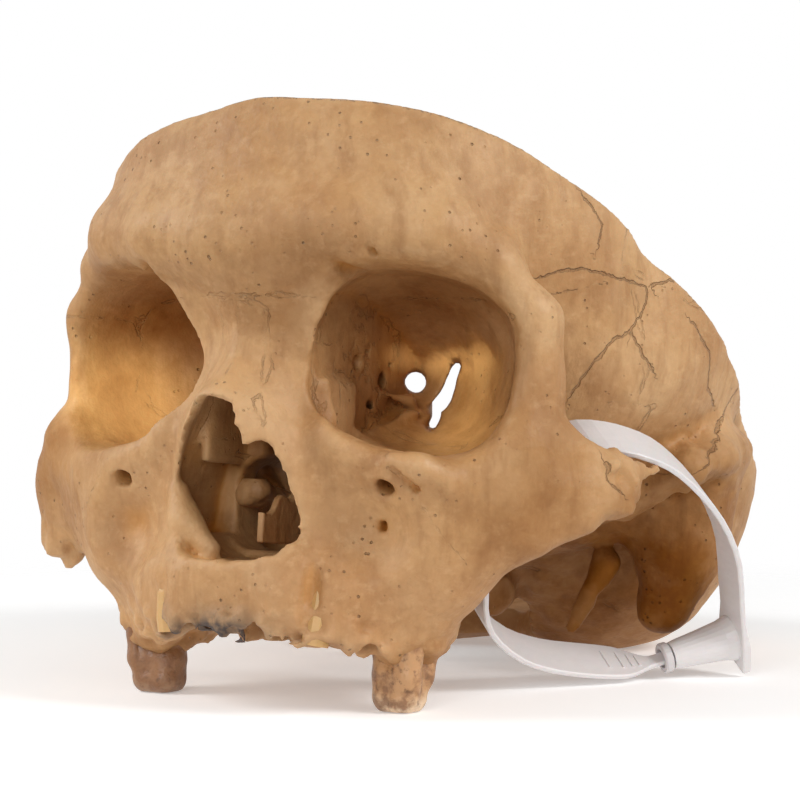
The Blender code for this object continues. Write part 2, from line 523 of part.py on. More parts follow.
def material(name, colour, roughness):
    made = bpy.data.materials.new(name)
    made.use_nodes = True
    shader = made.node_tree.nodes["Principled BSDF"]
    shader.inputs["Base Color"].default_value = (colour.red, colour.green, colour.blue, 1)
    shader.inputs["Roughness"].default_value = roughness
    return made


def collection(name, hidden):
    made = bpy.data.collections.new(name)
    bpy.context.scene.collection.children.link(made)
    made.hide_render = hidden
    return made


def placed(name, mesh, home, place=None):
    made = bpy.data.objects.new(name, mesh)
    home.objects.link(made)
    if place is not None:
        made.matrix_world = place
    if home is cutters:
        made.hide_render = True
        made.display_type = "WIRE"
    return made


def settled(obj):
    """Puts an object's place into its mesh."""
    obj.data.transform(obj.matrix_world)
    obj.matrix_world = Matrix.Identity(4)
    return obj


def welded(mesh, turn_out=False):
    """Joins a mesh's doubled points, and turns its faces outward where asked."""
    shape = bmesh.new()
    shape.from_mesh(mesh)
    bmesh.ops.remove_doubles(shape, verts=shape.verts, dist=WELD)
    if turn_out:
        bmesh.ops.recalc_face_normals(shape, faces=shape.faces)
        if shape.calc_volume(signed=True) < 0:
            bmesh.ops.reverse_faces(shape, faces=shape.faces)
    shape.to_mesh(mesh)
    shape.free()
    return mesh


def skin(name, points, faces):
    """A closed mesh from places and faces, with its faces turned outward."""
    mesh = bpy.data.meshes.new(name)
    mesh.from_pydata([tuple(point) for point in points], [], faces)
    return welded(mesh, True)


def bone_mesh(field):
    """The surface of the field, as a mesh."""
    grid = openvdb.FloatGrid()
    grid.copyFromArray(field.values)
    points, triangles, quads = grid.convertToPolygons(0.0, 0.0)
    faces = [tuple(int(i) for i in face) for face in quads] + [tuple(int(i) for i in face) for face in triangles]
    return skin("whole", points * field.step + field.low, faces)


def applied(obj):
    """Puts an object's modifiers into its mesh."""
    bpy.context.view_layer.update()
    graph = bpy.context.evaluated_depsgraph_get()
    mesh = bpy.data.meshes.new_from_object(obj.evaluated_get(graph))
    obj.modifiers.clear()
    obj.data = mesh
    return obj


def carve(obj, cutter, operation):
    modifier = obj.modifiers.new("carve", "BOOLEAN")
    modifier.solver = "EXACT"
    modifier.operation = operation
    modifier.object = cutter
    applied(obj)


def tidy(obj):
    """Keeps the largest body of a mesh, and welds what a cut left in tiny pieces."""
    shape = bmesh.new()
    shape.from_mesh(obj.data)
    bmesh.ops.remove_doubles(shape, verts=shape.verts, dist=WELD)
    bmesh.ops.dissolve_degenerate(shape, edges=shape.edges, dist=WELD)
    left = set(shape.faces)
    bodies = []
    while left:
        front = [left.pop()]
        body = list(front)
        while front:
            face = front.pop()
            for edge in face.edges:
                for other in edge.link_faces:
                    if other in left:
                        left.remove(other)
                        front.append(other)
                        body.append(other)
        bodies.append(body)
    bodies.sort(key=lambda body: -sum(face.calc_area() for face in body))
    spare = [face for body in bodies[1:] for face in body]
    bmesh.ops.delete(shape, geom=spare, context="FACES")
    bmesh.ops.triangulate(shape, faces=shape.faces)
    shape.to_mesh(obj.data)
    shape.free()


def line(curve, points, closed):
    """Adds a line of straight runs to a curve, with a radius for each place that gives one."""
    run = curve.splines.new("POLY")
    run.points.add(len(points) - 1)
    for spot_on_line, point in zip(run.points, points):
        spot_on_line.co = (point[0], point[1], point[2], 1)
        if len(point) > 3:
            spot_on_line.radius = point[3]
    run.use_cyclic_u = closed


def from_curve(name, curve, home, place):
    """A mesh object in a curve's place."""
    drawn = bpy.data.objects.new(f"{name}_line", curve)
    bpy.context.scene.collection.objects.link(drawn)
    drawn.matrix_world = place
    bpy.context.view_layer.update()
    graph = bpy.context.evaluated_depsgraph_get()
    mesh = welded(bpy.data.meshes.new_from_object(drawn.evaluated_get(graph)), True)
    made = placed(name, mesh, home, drawn.matrix_world.copy())
    bpy.data.objects.remove(drawn, do_unlink=True)
    return made


def widened(outline, gap):
    """An outline moved outward by a gap on every side."""
    points = [Vector(point) for point in outline]
    area = sum(a.x * b.y - b.x * a.y for a, b in zip(points, points[1:] + points[:1]))
    sign = 1 if area > 0 else -1
    moved = []
    for i, point in enumerate(points):
        before = (point - points[i - 1]).normalized()
        after = (points[(i + 1) % len(points)] - point).normalized()
        first, second = Vector((before.y, -before.x)), Vector((after.y, -after.x))
        middle = (first + second).normalized()
        moved.append(tuple(point + sign * middle * gap / max(middle.dot(first), MITRE_share)))
    return moved


def plate(name, outline_shares, seen_from, reach_shares, home, gap=0):
    """A flat outline with a thickness: drawn from the front, the side or above, and pushed through along the third axis."""
    first, second, third = {"front": (0, 2, 1), "side": (1, 2, 0), "above": (0, 1, 2)}[seen_from]
    outline = [(a * SPAN[first], b * SPAN[second]) for a, b in outline_shares]
    if gap:
        outline = widened(outline, gap)
    low, high = sorted(share * SPAN[third] for share in reach_shares)
    curve = bpy.data.curves.new(name, "CURVE")
    curve.dimensions = "2D"
    curve.fill_mode = "BOTH"
    curve.extrude = (high - low) / 2 + gap
    line(curve, [(a, b, 0) for a, b in outline], True)
    axes = [Vector((0, 0, 0)) for _ in range(3)]
    axes[0][first] = 1
    axes[1][second] = 1
    axes[2] = axes[0].cross(axes[1])
    place = Matrix(axes).transposed().to_4x4()
    place.translation[third] = (low + high) / 2
    return from_curve(name, curve, home, place)


def rod(name, point_shares, home, gap=0, sides=ROD_SIDES):
    """A round rod through places with a radius each, a gap thicker and longer where asked."""
    points = [spot(point[:3]) for point in point_shares]
    radii = [point[3] * BAR_RADIUS for point in point_shares]
    if gap:
        points[0] = points[0] + gap * (points[0] - points[1]) / np.linalg.norm(points[0] - points[1])
        points[-1] = points[-1] + gap * (points[-1] - points[-2]) / np.linalg.norm(points[-1] - points[-2])
    curve = bpy.data.curves.new(name, "CURVE")
    curve.dimensions = "3D"
    curve.bevel_depth = BAR_RADIUS
    curve.bevel_resolution = sides // 2 - 2
    curve.use_fill_caps = True
    line(curve, [(*point, (radius + gap) / BAR_RADIUS) for point, radius in zip(points, radii)], False)
    return from_curve(name, curve, home, Matrix.Identity(4))


def screwed(name, profile, place, home):
    """A turned body: a profile in the XZ plane, screwed about Z."""
    mesh = bpy.data.meshes.new(name)
    count = len(profile)
    closed = profile[0][0] > 0
    edges = [(i, i + 1) for i in range(count - 1)] + ([(count - 1, 0)] if closed else [])
    mesh.from_pydata([(radius, 0, height) for radius, height in profile], edges, [])
    made = placed(name, mesh, home, place)
    screw = made.modifiers.new("screw", "SCREW")
    screw.axis = "Z"
    screw.angle = math.tau
    screw.steps = CASE_SIDES
    screw.render_steps = CASE_SIDES
    screw.use_merge_vertices = True
    screw.merge_threshold = SCREW_WELD
    screw.use_normal_calculate = True
    applied(made)
    welded(made.data, True)
    return made


def mirrored(outline_shares):
    return [(-a, b) for a, b in outline_shares]


def take(rest, name, makers):
    """Cuts one bone out of the rest of the skull, and leaves a suture round it."""
    piece = placed(name, rest.data.copy(), bones)
    tight, wide = [], []
    for maker in makers:
        tight.append(maker(0))
        wide.append(maker(SUTURE_GAP))
    for extra in tight[1:]:
        carve(tight[0], extra, "UNION")
    carve(piece, tight[0], "INTERSECT")
    for cutter in wide:
        carve(rest, cutter, "DIFFERENCE")
    tidy(piece)
    return piece


def territory(name, outline_shares, seen_from, reach_shares):
    return lambda gap: plate(name, outline_shares, seen_from, reach_shares, cutters, gap)


def pair(rest, name, *lots):
    """The same bone on both sides."""
    for side, turn in (("left", 1), ("right", -1)):
        makers = []
        for outline_shares, seen_from, reach_shares in lots:
            if seen_from == "side":
                reach = [turn * share for share in reach_shares]
                makers.append(territory(f"{name}_{side}_territory", outline_shares, seen_from, reach))
            else:
                outline = outline_shares if turn > 0 else mirrored(outline_shares)
                makers.append(territory(f"{name}_{side}_territory", outline, seen_from, reach_shares))
        take(rest, f"{name}_{side}", makers)


def rings_mesh(name, rings):
    """A closed skin lofted through rings of points that differ."""
    count = len(rings[0])
    points = [point for ring in rings for point in ring]
    faces = [tuple(range(count)), tuple(range(len(points) - 1, len(points) - 1 - count, -1))]
    for i in range(len(rings) - 1):
        for j in range(count):
            k = (j + 1) % count
            faces.append((i * count + j, i * count + k, (i + 1) * count + k, (i + 1) * count + j))
    return skin(name, points, faces)


def superring(centre, half_x, half_y, sides, power):
    """A ring between a circle and a square."""
    ring = []
    for i in range(sides):
        turn = math.tau * i / sides
        c, s = math.cos(turn), math.sin(turn)
        size = (abs(c) ** power + abs(s) ** power) ** (-1 / power)
        ring.append(Vector(centre) + Vector((half_x * size * c, half_y * size * s, 0)))
    return ring


def saw_block():
    """What the saw took off: the top of the skull, down to flat faces that step along it and tilt on its right."""
    rings = []
    for (y_share, z_share), tilt_share in zip(SAW_LINE_shares, SAW_TILT_shares):
        low, high = SIDE_REACH_shares
        ring = [(low, y_share, z_share + tilt_share), (0, y_share, z_share), (high, y_share, z_share),
                (high, y_share, SAW_TOP_share), (low, y_share, SAW_TOP_share)]
        rings.append([spot(point) for point in ring])
    return placed("saw_block", rings_mesh("saw_block", rings), cutters)


def tooth(name, ring_shares, place_shares, side, gap, home):
    """A tooth, or its socket: rounded squares that change on their way down."""
    rings = []
    for height, half_x, half_y, shift in ring_shares:
        centre = spot((place_shares[0] + side * shift, place_shares[1], height))
        rings.append(superring(centre, half_x * SKULL_WIDTH + gap, half_y * SKULL_LENGTH + gap, MOLAR_SIDES,
                               MOLAR_SQUARENESS))
    if gap:
        for point in rings[0]:
            point.z += gap
    return placed(name, rings_mesh(name, rings), home)


def ribbon(point_shares, thick_share):
    """The outline of a thin plate that follows a line."""
    points = [Vector(point) for point in point_shares]
    outer, inner = [], []
    for i, point in enumerate(points):
        run = (points[min(i + 1, len(points) - 1)] - points[max(i - 1, 0)]).normalized()
        across = Vector((run.y, -run.x)) * thick_share / 2
        outer.append(tuple(point + across))
        inner.append(tuple(point - across))
    return outer + inner[::-1]


def tag_axes():
    """The tag's frame: level along its loop, up its loop, and the way its band is wide."""
    normal = Vector(TAG_NORMAL_shares).normalized()
    level = Vector((0, 0, 1)).cross(normal).normalized()
    return level, normal.cross(level), normal


def tag_place(*place_shares):
    """A place in the tag's frame. The tag grows from the corner of its loop that lies nearest the bone."""
    corner = Vector(spot(TAG_CORNER_shares))
    parts = [share - start for share, start in zip(place_shares, TAG_ANCHOR_shares)]
    return corner + sum((axis * part * TAG_SPAN for axis, part in zip(tag_axes(), parts)), Vector((0, 0, 0)))


def smooth_path(rows, steps):
    """A smooth curve through rows of numbers."""
    rows = np.array(rows, float)
    padded = np.concatenate([2 * rows[:1] - rows[1:2], rows, 2 * rows[-1:] - rows[-2:-1]])
    made = []
    for i in range(1, len(padded) - 2):
        a, b, c, d = padded[i - 1:i + 3]
        for j in range(steps):
            t = j / steps
            made.append(.5 * (2 * b + (c - a) * t + (2 * a - 5 * b + 4 * c - d) * t ** 2
                              + (3 * b - a - 3 * c + d) * t ** 3))
    made.append(rows[-1])
    return np.array(made)


def band_frames():
    """The strap's course: (middle, way out of the loop, half width, half thickness) at each step of it."""
    level, rise, normal = tag_axes()
    path = smooth_path(TAG_PATH_shares, TAG_STEPS)
    frames = []
    for i, (along, up, across, width, thick) in enumerate(path):
        ahead, behind = path[min(i + 1, len(path) - 1)], path[max(i - 1, 0)]
        run = Vector((ahead[0] - behind[0], ahead[1] - behind[1])).normalized()
        out = level * run.y - rise * run.x
        frames.append((tag_place(along, up, across), out, width * TAG_BAND_WIDTH / 2, thick * TAG_BAND_THICK / 2))
    return frames


def band():
    """The strap: a flat band along the tag's path, with eased edges."""
    normal = tag_axes()[2]
    corner = TAG_CORNER_share * TAG_BAND_THICK
    rings = []
    for middle, out, half_w, half_t in band_frames():
        sides = ((half_w - corner, half_t), (half_w, half_t - corner), (half_w, corner - half_t),
                 (half_w - corner, -half_t), (corner - half_w, -half_t), (-half_w, corner - half_t),
                 (-half_w, half_t - corner), (corner - half_w, half_t))
        rings.append([middle + normal * w + out * t for w, t in sides])
    return rings_mesh("band", rings)


def rib(name, frame, next_frame, span_share, home):
    """A grip rib across the strap's inner face."""
    normal = tag_axes()[2]
    middle, out, half_w, half_t = frame
    run = (next_frame[0] - middle).normalized()
    mesh = bpy.data.meshes.new(name)
    shape = bmesh.new()
    bmesh.ops.create_cube(shape, size=1)
    shape.to_mesh(mesh)
    shape.free()
    size = Matrix.Diagonal((RIB_WIDTH, 2 * half_w * span_share, 2 * RIB_RISE, 1))
    place = Matrix((run, normal, out)).transposed().to_4x4()
    place.translation = middle - out * half_t
    made = placed(name, mesh, home, place @ size)
    return made


def case_place():
    """The lock's own frame: Z runs from the flange to the collar."""
    base, small = tag_place(*CASE_BASE_shares), tag_place(*CASE_SMALL_shares)
    run = (small - base).normalized()
    side = run.cross(tag_axes()[2]).normalized()
    place = Matrix((side, run.cross(side), run)).transposed().to_4x4()
    place.translation = base
    return place, (small - base).length


def case_profile(rows, length):
    return [(radius * BAR_RADIUS, share * length) for share, radius in rows]


for old in list(bpy.data.objects):
    bpy.data.objects.remove(old, do_unlink=True)
bones = collection("partial_human_skull", False)
cutters = collection("cutters", True)

# The whole bone, as one closed skin
whole = placed("whole", bone_mesh(skull(GRID_STEP)), cutters)
tidy(whole)
lighter = whole.modifiers.new("lighter", "DECIMATE")
lighter.ratio = BONE_FACETS / len(whole.data.polygons)
applied(whole)
carve(whole, saw_block(), "DIFFERENCE")
tidy(whole)

# Teeth and roots: each sits in its own socket, and the lost teeth left theirs
for name, place_shares, side in (("molar_left", MOLAR_LEFT_shares, 1), ("molar_right", MOLAR_RIGHT_shares, -1)):
    tooth(name, MOLAR_RING_shares, place_shares, side, 0, bones)
    carve(whole, tooth(f"{name}_socket", MOLAR_RING_shares, place_shares, side, SUTURE_GAP, cutters), "DIFFERENCE")
for name, point_shares in (("canine_root_left", CANINE_ROOT_shares), ("canine_root_right", RIGHT_ROOT_shares)):
    rod(name, point_shares, bones, 0, ROOT_SIDES)
    carve(whole, rod(f"{name}_socket", point_shares, cutters, SUTURE_GAP, ROOT_SIDES), "DIFFERENCE")
for number, point_shares in enumerate(LOST_TOOTH_shares + FORAMEN_shares):
    carve(whole, rod(f"hole_{number}", point_shares, cutters), "DIFFERENCE")
tidy(whole)

# The bones, cut out one after another
pair(whole, "nasal", (NASAL_shares, "front", NASAL_DEPTH_shares))
pair(whole, "lacrimal", (LACRIMAL_shares, "front", LACRIMAL_DEPTH_shares))
ethmoid = take(whole, "ethmoid", [territory("ethmoid_territory", ETHMOID_shares, "front", ETHMOID_DEPTH_shares)])
pair(whole, "palatine", (PALATINE_shares, "front", PALATINE_DEPTH_shares))
pair(whole, "zygomatic", (ZYGOMATIC_shares, "front", ZYGOMATIC_DEPTH_shares),
     (CHEEK_ARCH_shares, "front", CHEEK_ARCH_DEPTH_shares))
take(whole, "sphenoid", [territory("sphenoid_territory", SPHENOID_shares, "side", SIDE_REACH_shares)])
take(whole, "frontal", [territory("frontal_territory", FRONTAL_shares, "side", SIDE_REACH_shares)])
take(whole, "occipital", [territory("occipital_territory", OCCIPITAL_shares, "above", TALL_REACH_shares)])
pair(whole, "parietal_fragment", (PARIETAL_FRAGMENT_shares, "side", HALF_REACH_shares))
pair(whole, "parietal", (PARIETAL_shares, "side", HALF_REACH_shares))
pair(whole, "maxilla", (MAXILLA_shares, "side", HALF_REACH_shares))
pair(whole, "temporal", (TEMPORAL_shares, "side", HALF_REACH_shares))

# Thin plates inside the nose
plate_reach_shares = [-PLATE_THICK / SKULL_WIDTH / 2, PLATE_THICK / SKULL_WIDTH / 2]
carve(ethmoid, plate("septum", SEPTUM_shares, "side", plate_reach_shares, cutters), "UNION")
tidy(ethmoid)
settled(plate("vomer", VOMER_shares, "side", plate_reach_shares, bones))
concha_shares = ribbon(CONCHA_shares, PLATE_THICK / SKULL_WIDTH)
for side, outline_shares in (("left", concha_shares), ("right", mirrored(concha_shares))):
    settled(plate(f"inferior_concha_{side}", outline_shares, "front", CONCHA_DEPTH_shares, bones))

# The tag: a strap with its lock case and grip ribs, and the collar that holds its tail
strap = placed("tag_strap", band(), bones)
place, length = case_place()
carve(strap, screwed("case", case_profile(CASE_PROFILE_shares, length), place, cutters), "UNION")
frames = band_frames()
for first, last, span_share in RIB_LOTS:
    for number in range(first, last):
        carve(strap, rib(f"rib_{number}", frames[number], frames[number + 1], span_share, cutters), "UNION")
tidy(strap)
settled(screwed("tag_lock_collar", case_profile(COLLAR_PROFILE_shares, length), place, bones))

# Its pose on the table, where the teeth and the back of the skull are worn flat
bpy.data.objects.remove(whole, do_unlink=True)
pose = Matrix.Translation((0, 0, REST_LIFT)) @ Matrix.Rotation(math.radians(PITCH_DEGREES), 4, "X")
corners = [pose @ vertex.co for obj in bones.objects for vertex in obj.data.vertices]
middle_x = (min(point.x for point in corners) + max(point.x for point in corners)) / 2
middle_y = (min(point.y for point in corners) + max(point.y for point in corners)) / 2
pose = Matrix.Translation((-middle_x, -middle_y, 0)) @ pose
for obj in bones.objects:
    obj.data.transform(pose)
for obj in cutters.objects:
    obj.matrix_world = pose @ obj.matrix_world
table_mesh = bpy.data.meshes.new("table")
shape = bmesh.new()
bmesh.ops.create_cube(shape, size=1)
shape.to_mesh(table_mesh)
shape.free()
table_size = (TABLE_REACH_share * SKULL_WIDTH, TABLE_REACH_share * SKULL_LENGTH, TABLE_THICK)
table_place = Matrix.Translation((0, 0, -TABLE_THICK / 2)) @ Matrix.Diagonal((*table_size, 1))
table = placed("table", table_mesh, cutters, table_place)
for name in ("molar_left", "molar_right", "occipital"):
    carve(bpy.data.objects[name], table, "DIFFERENCE")
    tidy(bpy.data.objects[name])

# The tag swings on the arch: its hinge's own Z is the axis
level, rise, normal = [pose.to_3x3() @ axis for axis in tag_axes()]
hinge = bpy.data.objects.new("tag_hinge", None)
bones.objects.link(hinge)
hinge_turn = Matrix((level, rise, normal)).transposed().to_4x4()
hinge.matrix_world = Matrix.Translation(pose @ tag_place(*TAG_PIVOT_shares)) @ hinge_turn
bpy.context.view_layer.update()
for name in ("tag_strap", "tag_lock_collar"):
    obj = bpy.data.objects[name]
    obj.data.transform(hinge.matrix_world.inverted())
    obj.parent = hinge

# Materials and shading
for obj in bones.objects:
    if obj.type != "MESH":
        continue
    if obj.name.startswith("tag_lock"):
        made = material(obj.name, INSERT_COLOUR, .35)
    elif obj.name.startswith("tag"):
        made = material(obj.name, TAG_COLOUR, .42)
    elif obj.name.startswith(("molar", "canine")):
        made = material(obj.name, TOOTH_COLOUR, .45)
    else:
        made = material(obj.name, BONE_COLOUR, .60)
    obj.data.materials.clear()
    obj.data.materials.append(made)
    obj.data.shade_smooth()
    obj.data.set_sharp_from_angle(angle=math.radians(SHARP_DEGREES))
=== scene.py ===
"""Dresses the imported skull: fine bones in place of the plain ones, materials, camera and light.

The bone is shaped as in the part's source, on a finer grid and with the small holes, breaks and dents that
the photograph shows. Each face of its skin then goes to the bone whose sutures lie round it.
"""
import math
from collections import namedtuple

import bpy
import numpy as np
import openvdb
from mathutils import Matrix, Vector


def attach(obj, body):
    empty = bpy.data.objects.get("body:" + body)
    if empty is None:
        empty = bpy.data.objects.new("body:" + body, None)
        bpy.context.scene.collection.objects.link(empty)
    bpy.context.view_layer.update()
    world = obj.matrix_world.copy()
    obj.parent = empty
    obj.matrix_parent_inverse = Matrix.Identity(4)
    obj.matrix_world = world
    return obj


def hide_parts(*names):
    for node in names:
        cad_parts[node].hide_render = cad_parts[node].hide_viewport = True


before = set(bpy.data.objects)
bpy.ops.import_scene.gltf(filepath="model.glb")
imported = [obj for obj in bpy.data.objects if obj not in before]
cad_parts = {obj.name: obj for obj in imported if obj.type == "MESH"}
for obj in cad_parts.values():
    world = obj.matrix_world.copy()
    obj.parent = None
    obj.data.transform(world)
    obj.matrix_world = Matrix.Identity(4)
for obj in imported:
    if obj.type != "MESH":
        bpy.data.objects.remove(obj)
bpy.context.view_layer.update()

# The spans that every share is taken of
SKULL_WIDTH = 0.100
SKULL_LENGTH = 0.100
SKULL_HEIGHT = 0.100
BAR_RADIUS = 0.010
BLEND = 0.010
# Walls, hollows and gaps
VAULT_WALL = 0.0055
ORBIT_WIDTH = 0.0400
ORBIT_HEIGHT = 0.0350
ORBIT_DEPTH = 0.0430
ORBIT_WALL = 0.0028
NASAL_WIDTH = 0.0280
NASAL_PLATE = 0.0025
MAGNUM_WIDTH = 0.0300
MAGNUM_LENGTH = 0.0350
FAR_AWAY = 0.020
GRID_STEP = 0.0009
GRID_MARGIN = 0.004
BAR_BLEND_share = .4
ALMOST_ALL_share = .98
FAINT_share = .002
SMALLEST = 0.000001
# How it lies on the table: on two worn molars and the back of the skull
PITCH_DEGREES = -5.1
REST_LIFT = 0.04490

SPAN = np.array([SKULL_WIDTH, SKULL_LENGTH, SKULL_HEIGHT])

# The field: (centre, radii, blend) of balls, (x, y, z, radius) along bars
VAULT_BALL_shares = [
    ((0, -.34, .46), (.54, .60, .50), 0), ((.20, -.52, .50), (.25, .34, .33), 1.0),
    ((0, .12, .38), (.69, .73, .62), 2.4), ((.33, -.12, .26), (.33, .37, .31), 1.0),
    ((0, .40, .05), (.58, .46, .44), 1.2), ((.24, .43, -.11), (.29, .31, .30), 1.0),
]
HOLLOW_FLOOR_share = .385
HOLLOW_BACK_share = -.44
HOLLOW_SLOPE = 4
BROW_shares = [
    (.04, -.915, .385, .60), (.20, -.895, .41, .62), (.36, -.80, .415, .58), (.45, -.715, .36, .44),
    (.50, -.665, .26, .42),
]
GLABELLA_shares = ((0, -.885, .41), (.16, .075, .10))
ORBIT_CENTRE_shares = (.305, -.755, .165)
ORBIT_APEX_shares = (.09, -.36, .17)
ORBIT_DEPTH_shares = [-.70, -.05, .12, .28, .52, .80, 1.02]
ORBIT_GIRTH_shares = [1.25, .98, 1.03, 1.0, .79, .42, .10]
ORBIT_LEAN_DEGREES = -9
ORBIT_SQUARENESS = 2.6
ORBIT_START_shares = (-.60, .05)
ORBIT_REACH_share = .65
ORBIT_INNER_share = .118
SIDE_RIM_shares = [
    (.51, -.665, .26, .45), (.505, -.655, .14, .42), (.50, -.66, .02, .58), (.47, -.68, -.06, .75),
]
SIDE_RIM_BACK_shares = [(.51, -.635, .26, .25), (.515, -.605, .14, .28), (.535, -.61, .04, .30)]
LOWER_RIM_shares = [
    (.50, -.67, 0, .60), (.41, -.735, -.055, .62), (.29, -.79, -.045, .52), (.19, -.835, .01, .46),
]
INNER_RIM_shares = [
    (.19, -.815, 0, .40), (.135, -.795, .10, .32), (.115, -.79, .20, .32), (.12, -.835, .30, .50),
]
# The bridge of the nose: height, its ridge, its flank's reach to the side and back, how round it is
BRIDGE_shares = [
    (-.26, -.91, .22, -.80, 2.2), (-.18, -.925, .22, -.80, 2.0), (-.10, -.96, .21, -.80, 1.9),
    (-.03, -1.00, .19, -.80, 1.8), (.03, -1.025, .165, -.797, 1.8), (.085, -1.00, .14, -.79, 1.6),
    (.12, -.955, .125, -.785, 1.5), (.16, -.920, .11, -.785, 1.5), (.22, -.902, .10, -.80, 1.6),
    (.27, -.914, .105, -.825, 1.8), (.33, -.930, .14, -.86, 2.0),
]
BRIDGE_BACK_share = -.66
BRIDGE_HOLLOW_TOP_share = .20
BRIDGE_HOLLOW_SIDE_share = .035
MAXILLA_BALL_shares = ((.27, -.69, -.15), (.20, .165, .20))
MUZZLE_BALL_shares = ((0, -.81, -.24), (.19, .095, .09))
SOCKET_ARCH_shares = [
    (0, -.885, -.35, .33), (.11, -.875, -.35, .36), (.20, -.82, -.355, .42), (.255, -.73, -.355, .46),
    (.275, -.63, -.35, .50), (.255, -.54, -.33, .52), (.235, -.48, -.30, .45),
]
SOCKET_ARCH_TOP_shares = [
    (0, -.875, -.27, .42), (.11, -.865, -.27, .45), (.20, -.81, -.27, .50), (.25, -.73, -.27, .52),
    (.27, -.63, -.27, .52),
]
TUBER_BALL_shares = ((.225, -.54, -.18), (.08, .10, .16))
CHEEK_PILLAR_shares = [(.46, -.675, -.14, .62), (.375, -.675, -.235, .55), (.31, -.66, -.31, .52)]
CHEEK_UPPER_shares = [
    (.50, -.66, .03, .44), (.570, -.605, .020, .33), (.630, -.52, -.006, .30), (.668, -.42, -.033, .27),
]
CHEEK_MIDDLE_shares = [
    (.48, -.69, -.06, .50), (.555, -.64, -.06, .40), (.620, -.545, -.055, .31), (.662, -.44, -.05, .27),
]
CHEEK_LOWER_shares = [
    (.43, -.68, -.18, .46), (.52, -.645, -.155, .40), (.59, -.58, -.12, .33), (.655, -.47, -.08, .28),
]
# Where the lumps between bars are smoothed away: (centre, reach, how wide the mean is)
SOFT_shares = [
    ((.50, -.60, -.06), (.20, .20, .22), .35), ((-.50, -.60, -.08), (.20, .20, .24), .35),
    ((0, -.86, .47), (.50, .16, .12), .35), ((0, -.84, -.24), (.34, .14, .14), .25),
]
RIGHT_CHEEK_shares = [(-.55, -.66, 0, .50), (-.585, -.635, -.09, .50), (-.565, -.64, -.215, .52)]
ETHMOID_BLOCK_shares = ((0, -.60, .13), (.115, .20, .21))
PALATE_shares = ((0, -.64, -.235), (.23, .24, .024))
NOSE_CAVITY_shares = ((0, -.61, -.115), (.135, .225, .095))
NOSE_ROOF_shares = ((0, -.60, .04), (.075, .21, .13))
PALATE_DOME_shares = ((0, -.62, -.35), (.20, .25, .115))
CANINE_DENT_shares = ((.28, -.915, -.17), (.10, .12, .10))
APERTURE_shares = [
    (0, 1.12), (.27, 1.05), (.335, .89), (.37, .75), (.45, .47), (.59, .57), (.70, .49), (.82, .24),
    (.91, -.19), (.95, -.46), (.935, -.70), (.79, -.91), (.57, -1.05), (0, -1.11), (-.57, -1.08),
    (-.76, -.98), (-.985, -.74), (-1.055, -.36), (-1.01, .11), (-.91, .44), (-.82, .75), (-.68, .96),
    (-.43, 1.09), (-.21, 1.13),
]
APERTURE_CENTRE_share = -.075
APERTURE_DEPTH_shares = (-1.2, -.70)
SPHENOID_BALL_shares = ((0, -.33, .03), (.15, .17, .14))
CLIVUS_shares = [(0, -.24, .02, 1.1), (0, -.06, -.17, .85)]
PETROUS_shares = [(.12, -.16, -.01, .75), (.32, -.03, .01, .85), (.55, .07, .04, 1.1)]
PETROUS_ROOT_shares = [(.12, -.16, -.07, .75), (.32, -.03, -.08, .85), (.55, .07, -.04, 1.0)]
MASTOID_shares = [(.56, .07, .02, 1.1), (.55, .08, -.15, 1.0), (.525, .06, -.30, .60)]
CONDYLE_shares = [(.115, .08, -.275, .50), (.15, -.03, -.28, .55)]
WING_RIDGE_shares = [(.54, -.40, .31, .35), (.30, -.41, .30, .32), (.08, -.36, .25, .32)]
STYLOID_shares = [(.41, 0, -.21, .32), (.36, -.06, -.35, .15)]
CREST_shares = [(.66, .12, .05, .30), (.665, -.02, .03, .32), (.645, -.13, .0, .38)]
JAW_SOCKET_shares = [(.61, -.11, -.015, .40), (.50, -.13, -.07, .38), (.38, -.12, -.10, .35)]
OUTER_WING_shares = ((.175, -.41, -.22), (.018, .085, .19))
INNER_WING_shares = ((.125, -.42, -.22), (.016, .055, .19))
WING_TURN_DEGREES = 25
# Holes at the back of the left eye socket, which let the light through: (x, y, z, radius) at both ends
ORBIT_HOLE_shares = [
    [(.235, -.61, .139, .25), (-.02, -.10, .176, .25)], [(.327, -.61, .172, .09), (.080, -.10, .215, .09)],
    [(.316, -.61, .150, .10), (.072, -.10, .192, .10)], [(.309, -.61, .128, .11), (.066, -.10, .168, .11)],
    [(.300, -.61, .107, .13), (.058, -.10, .145, .13)], [(.291, -.61, .094, .13), (.045, -.10, .130, .13)],
    [(.281, -.61, .088, .10), (.034, -.10, .122, .10)], [(.284, -.61, .068, .09), (.036, -.10, .100, .09)],
    [(.274, -.61, .050, .09), (.026, -.10, .080, .09)],
]
MAGNUM_BACK_share = .17
MAGNUM_FOOT_share = -.6
SAW_LINE_shares = ((-1.30, .806), (-.66, .612), (-.45, .523), (0, .248), (.45, .052), (1.20, -.145))
SAW_TILT_shares = (-.165, -.165, -.110, 0, 0, 0)
FIELD_LOW_shares = (-.82, -1.10, -.52)
FIELD_HIGH_shares = (.82, .98, .80)

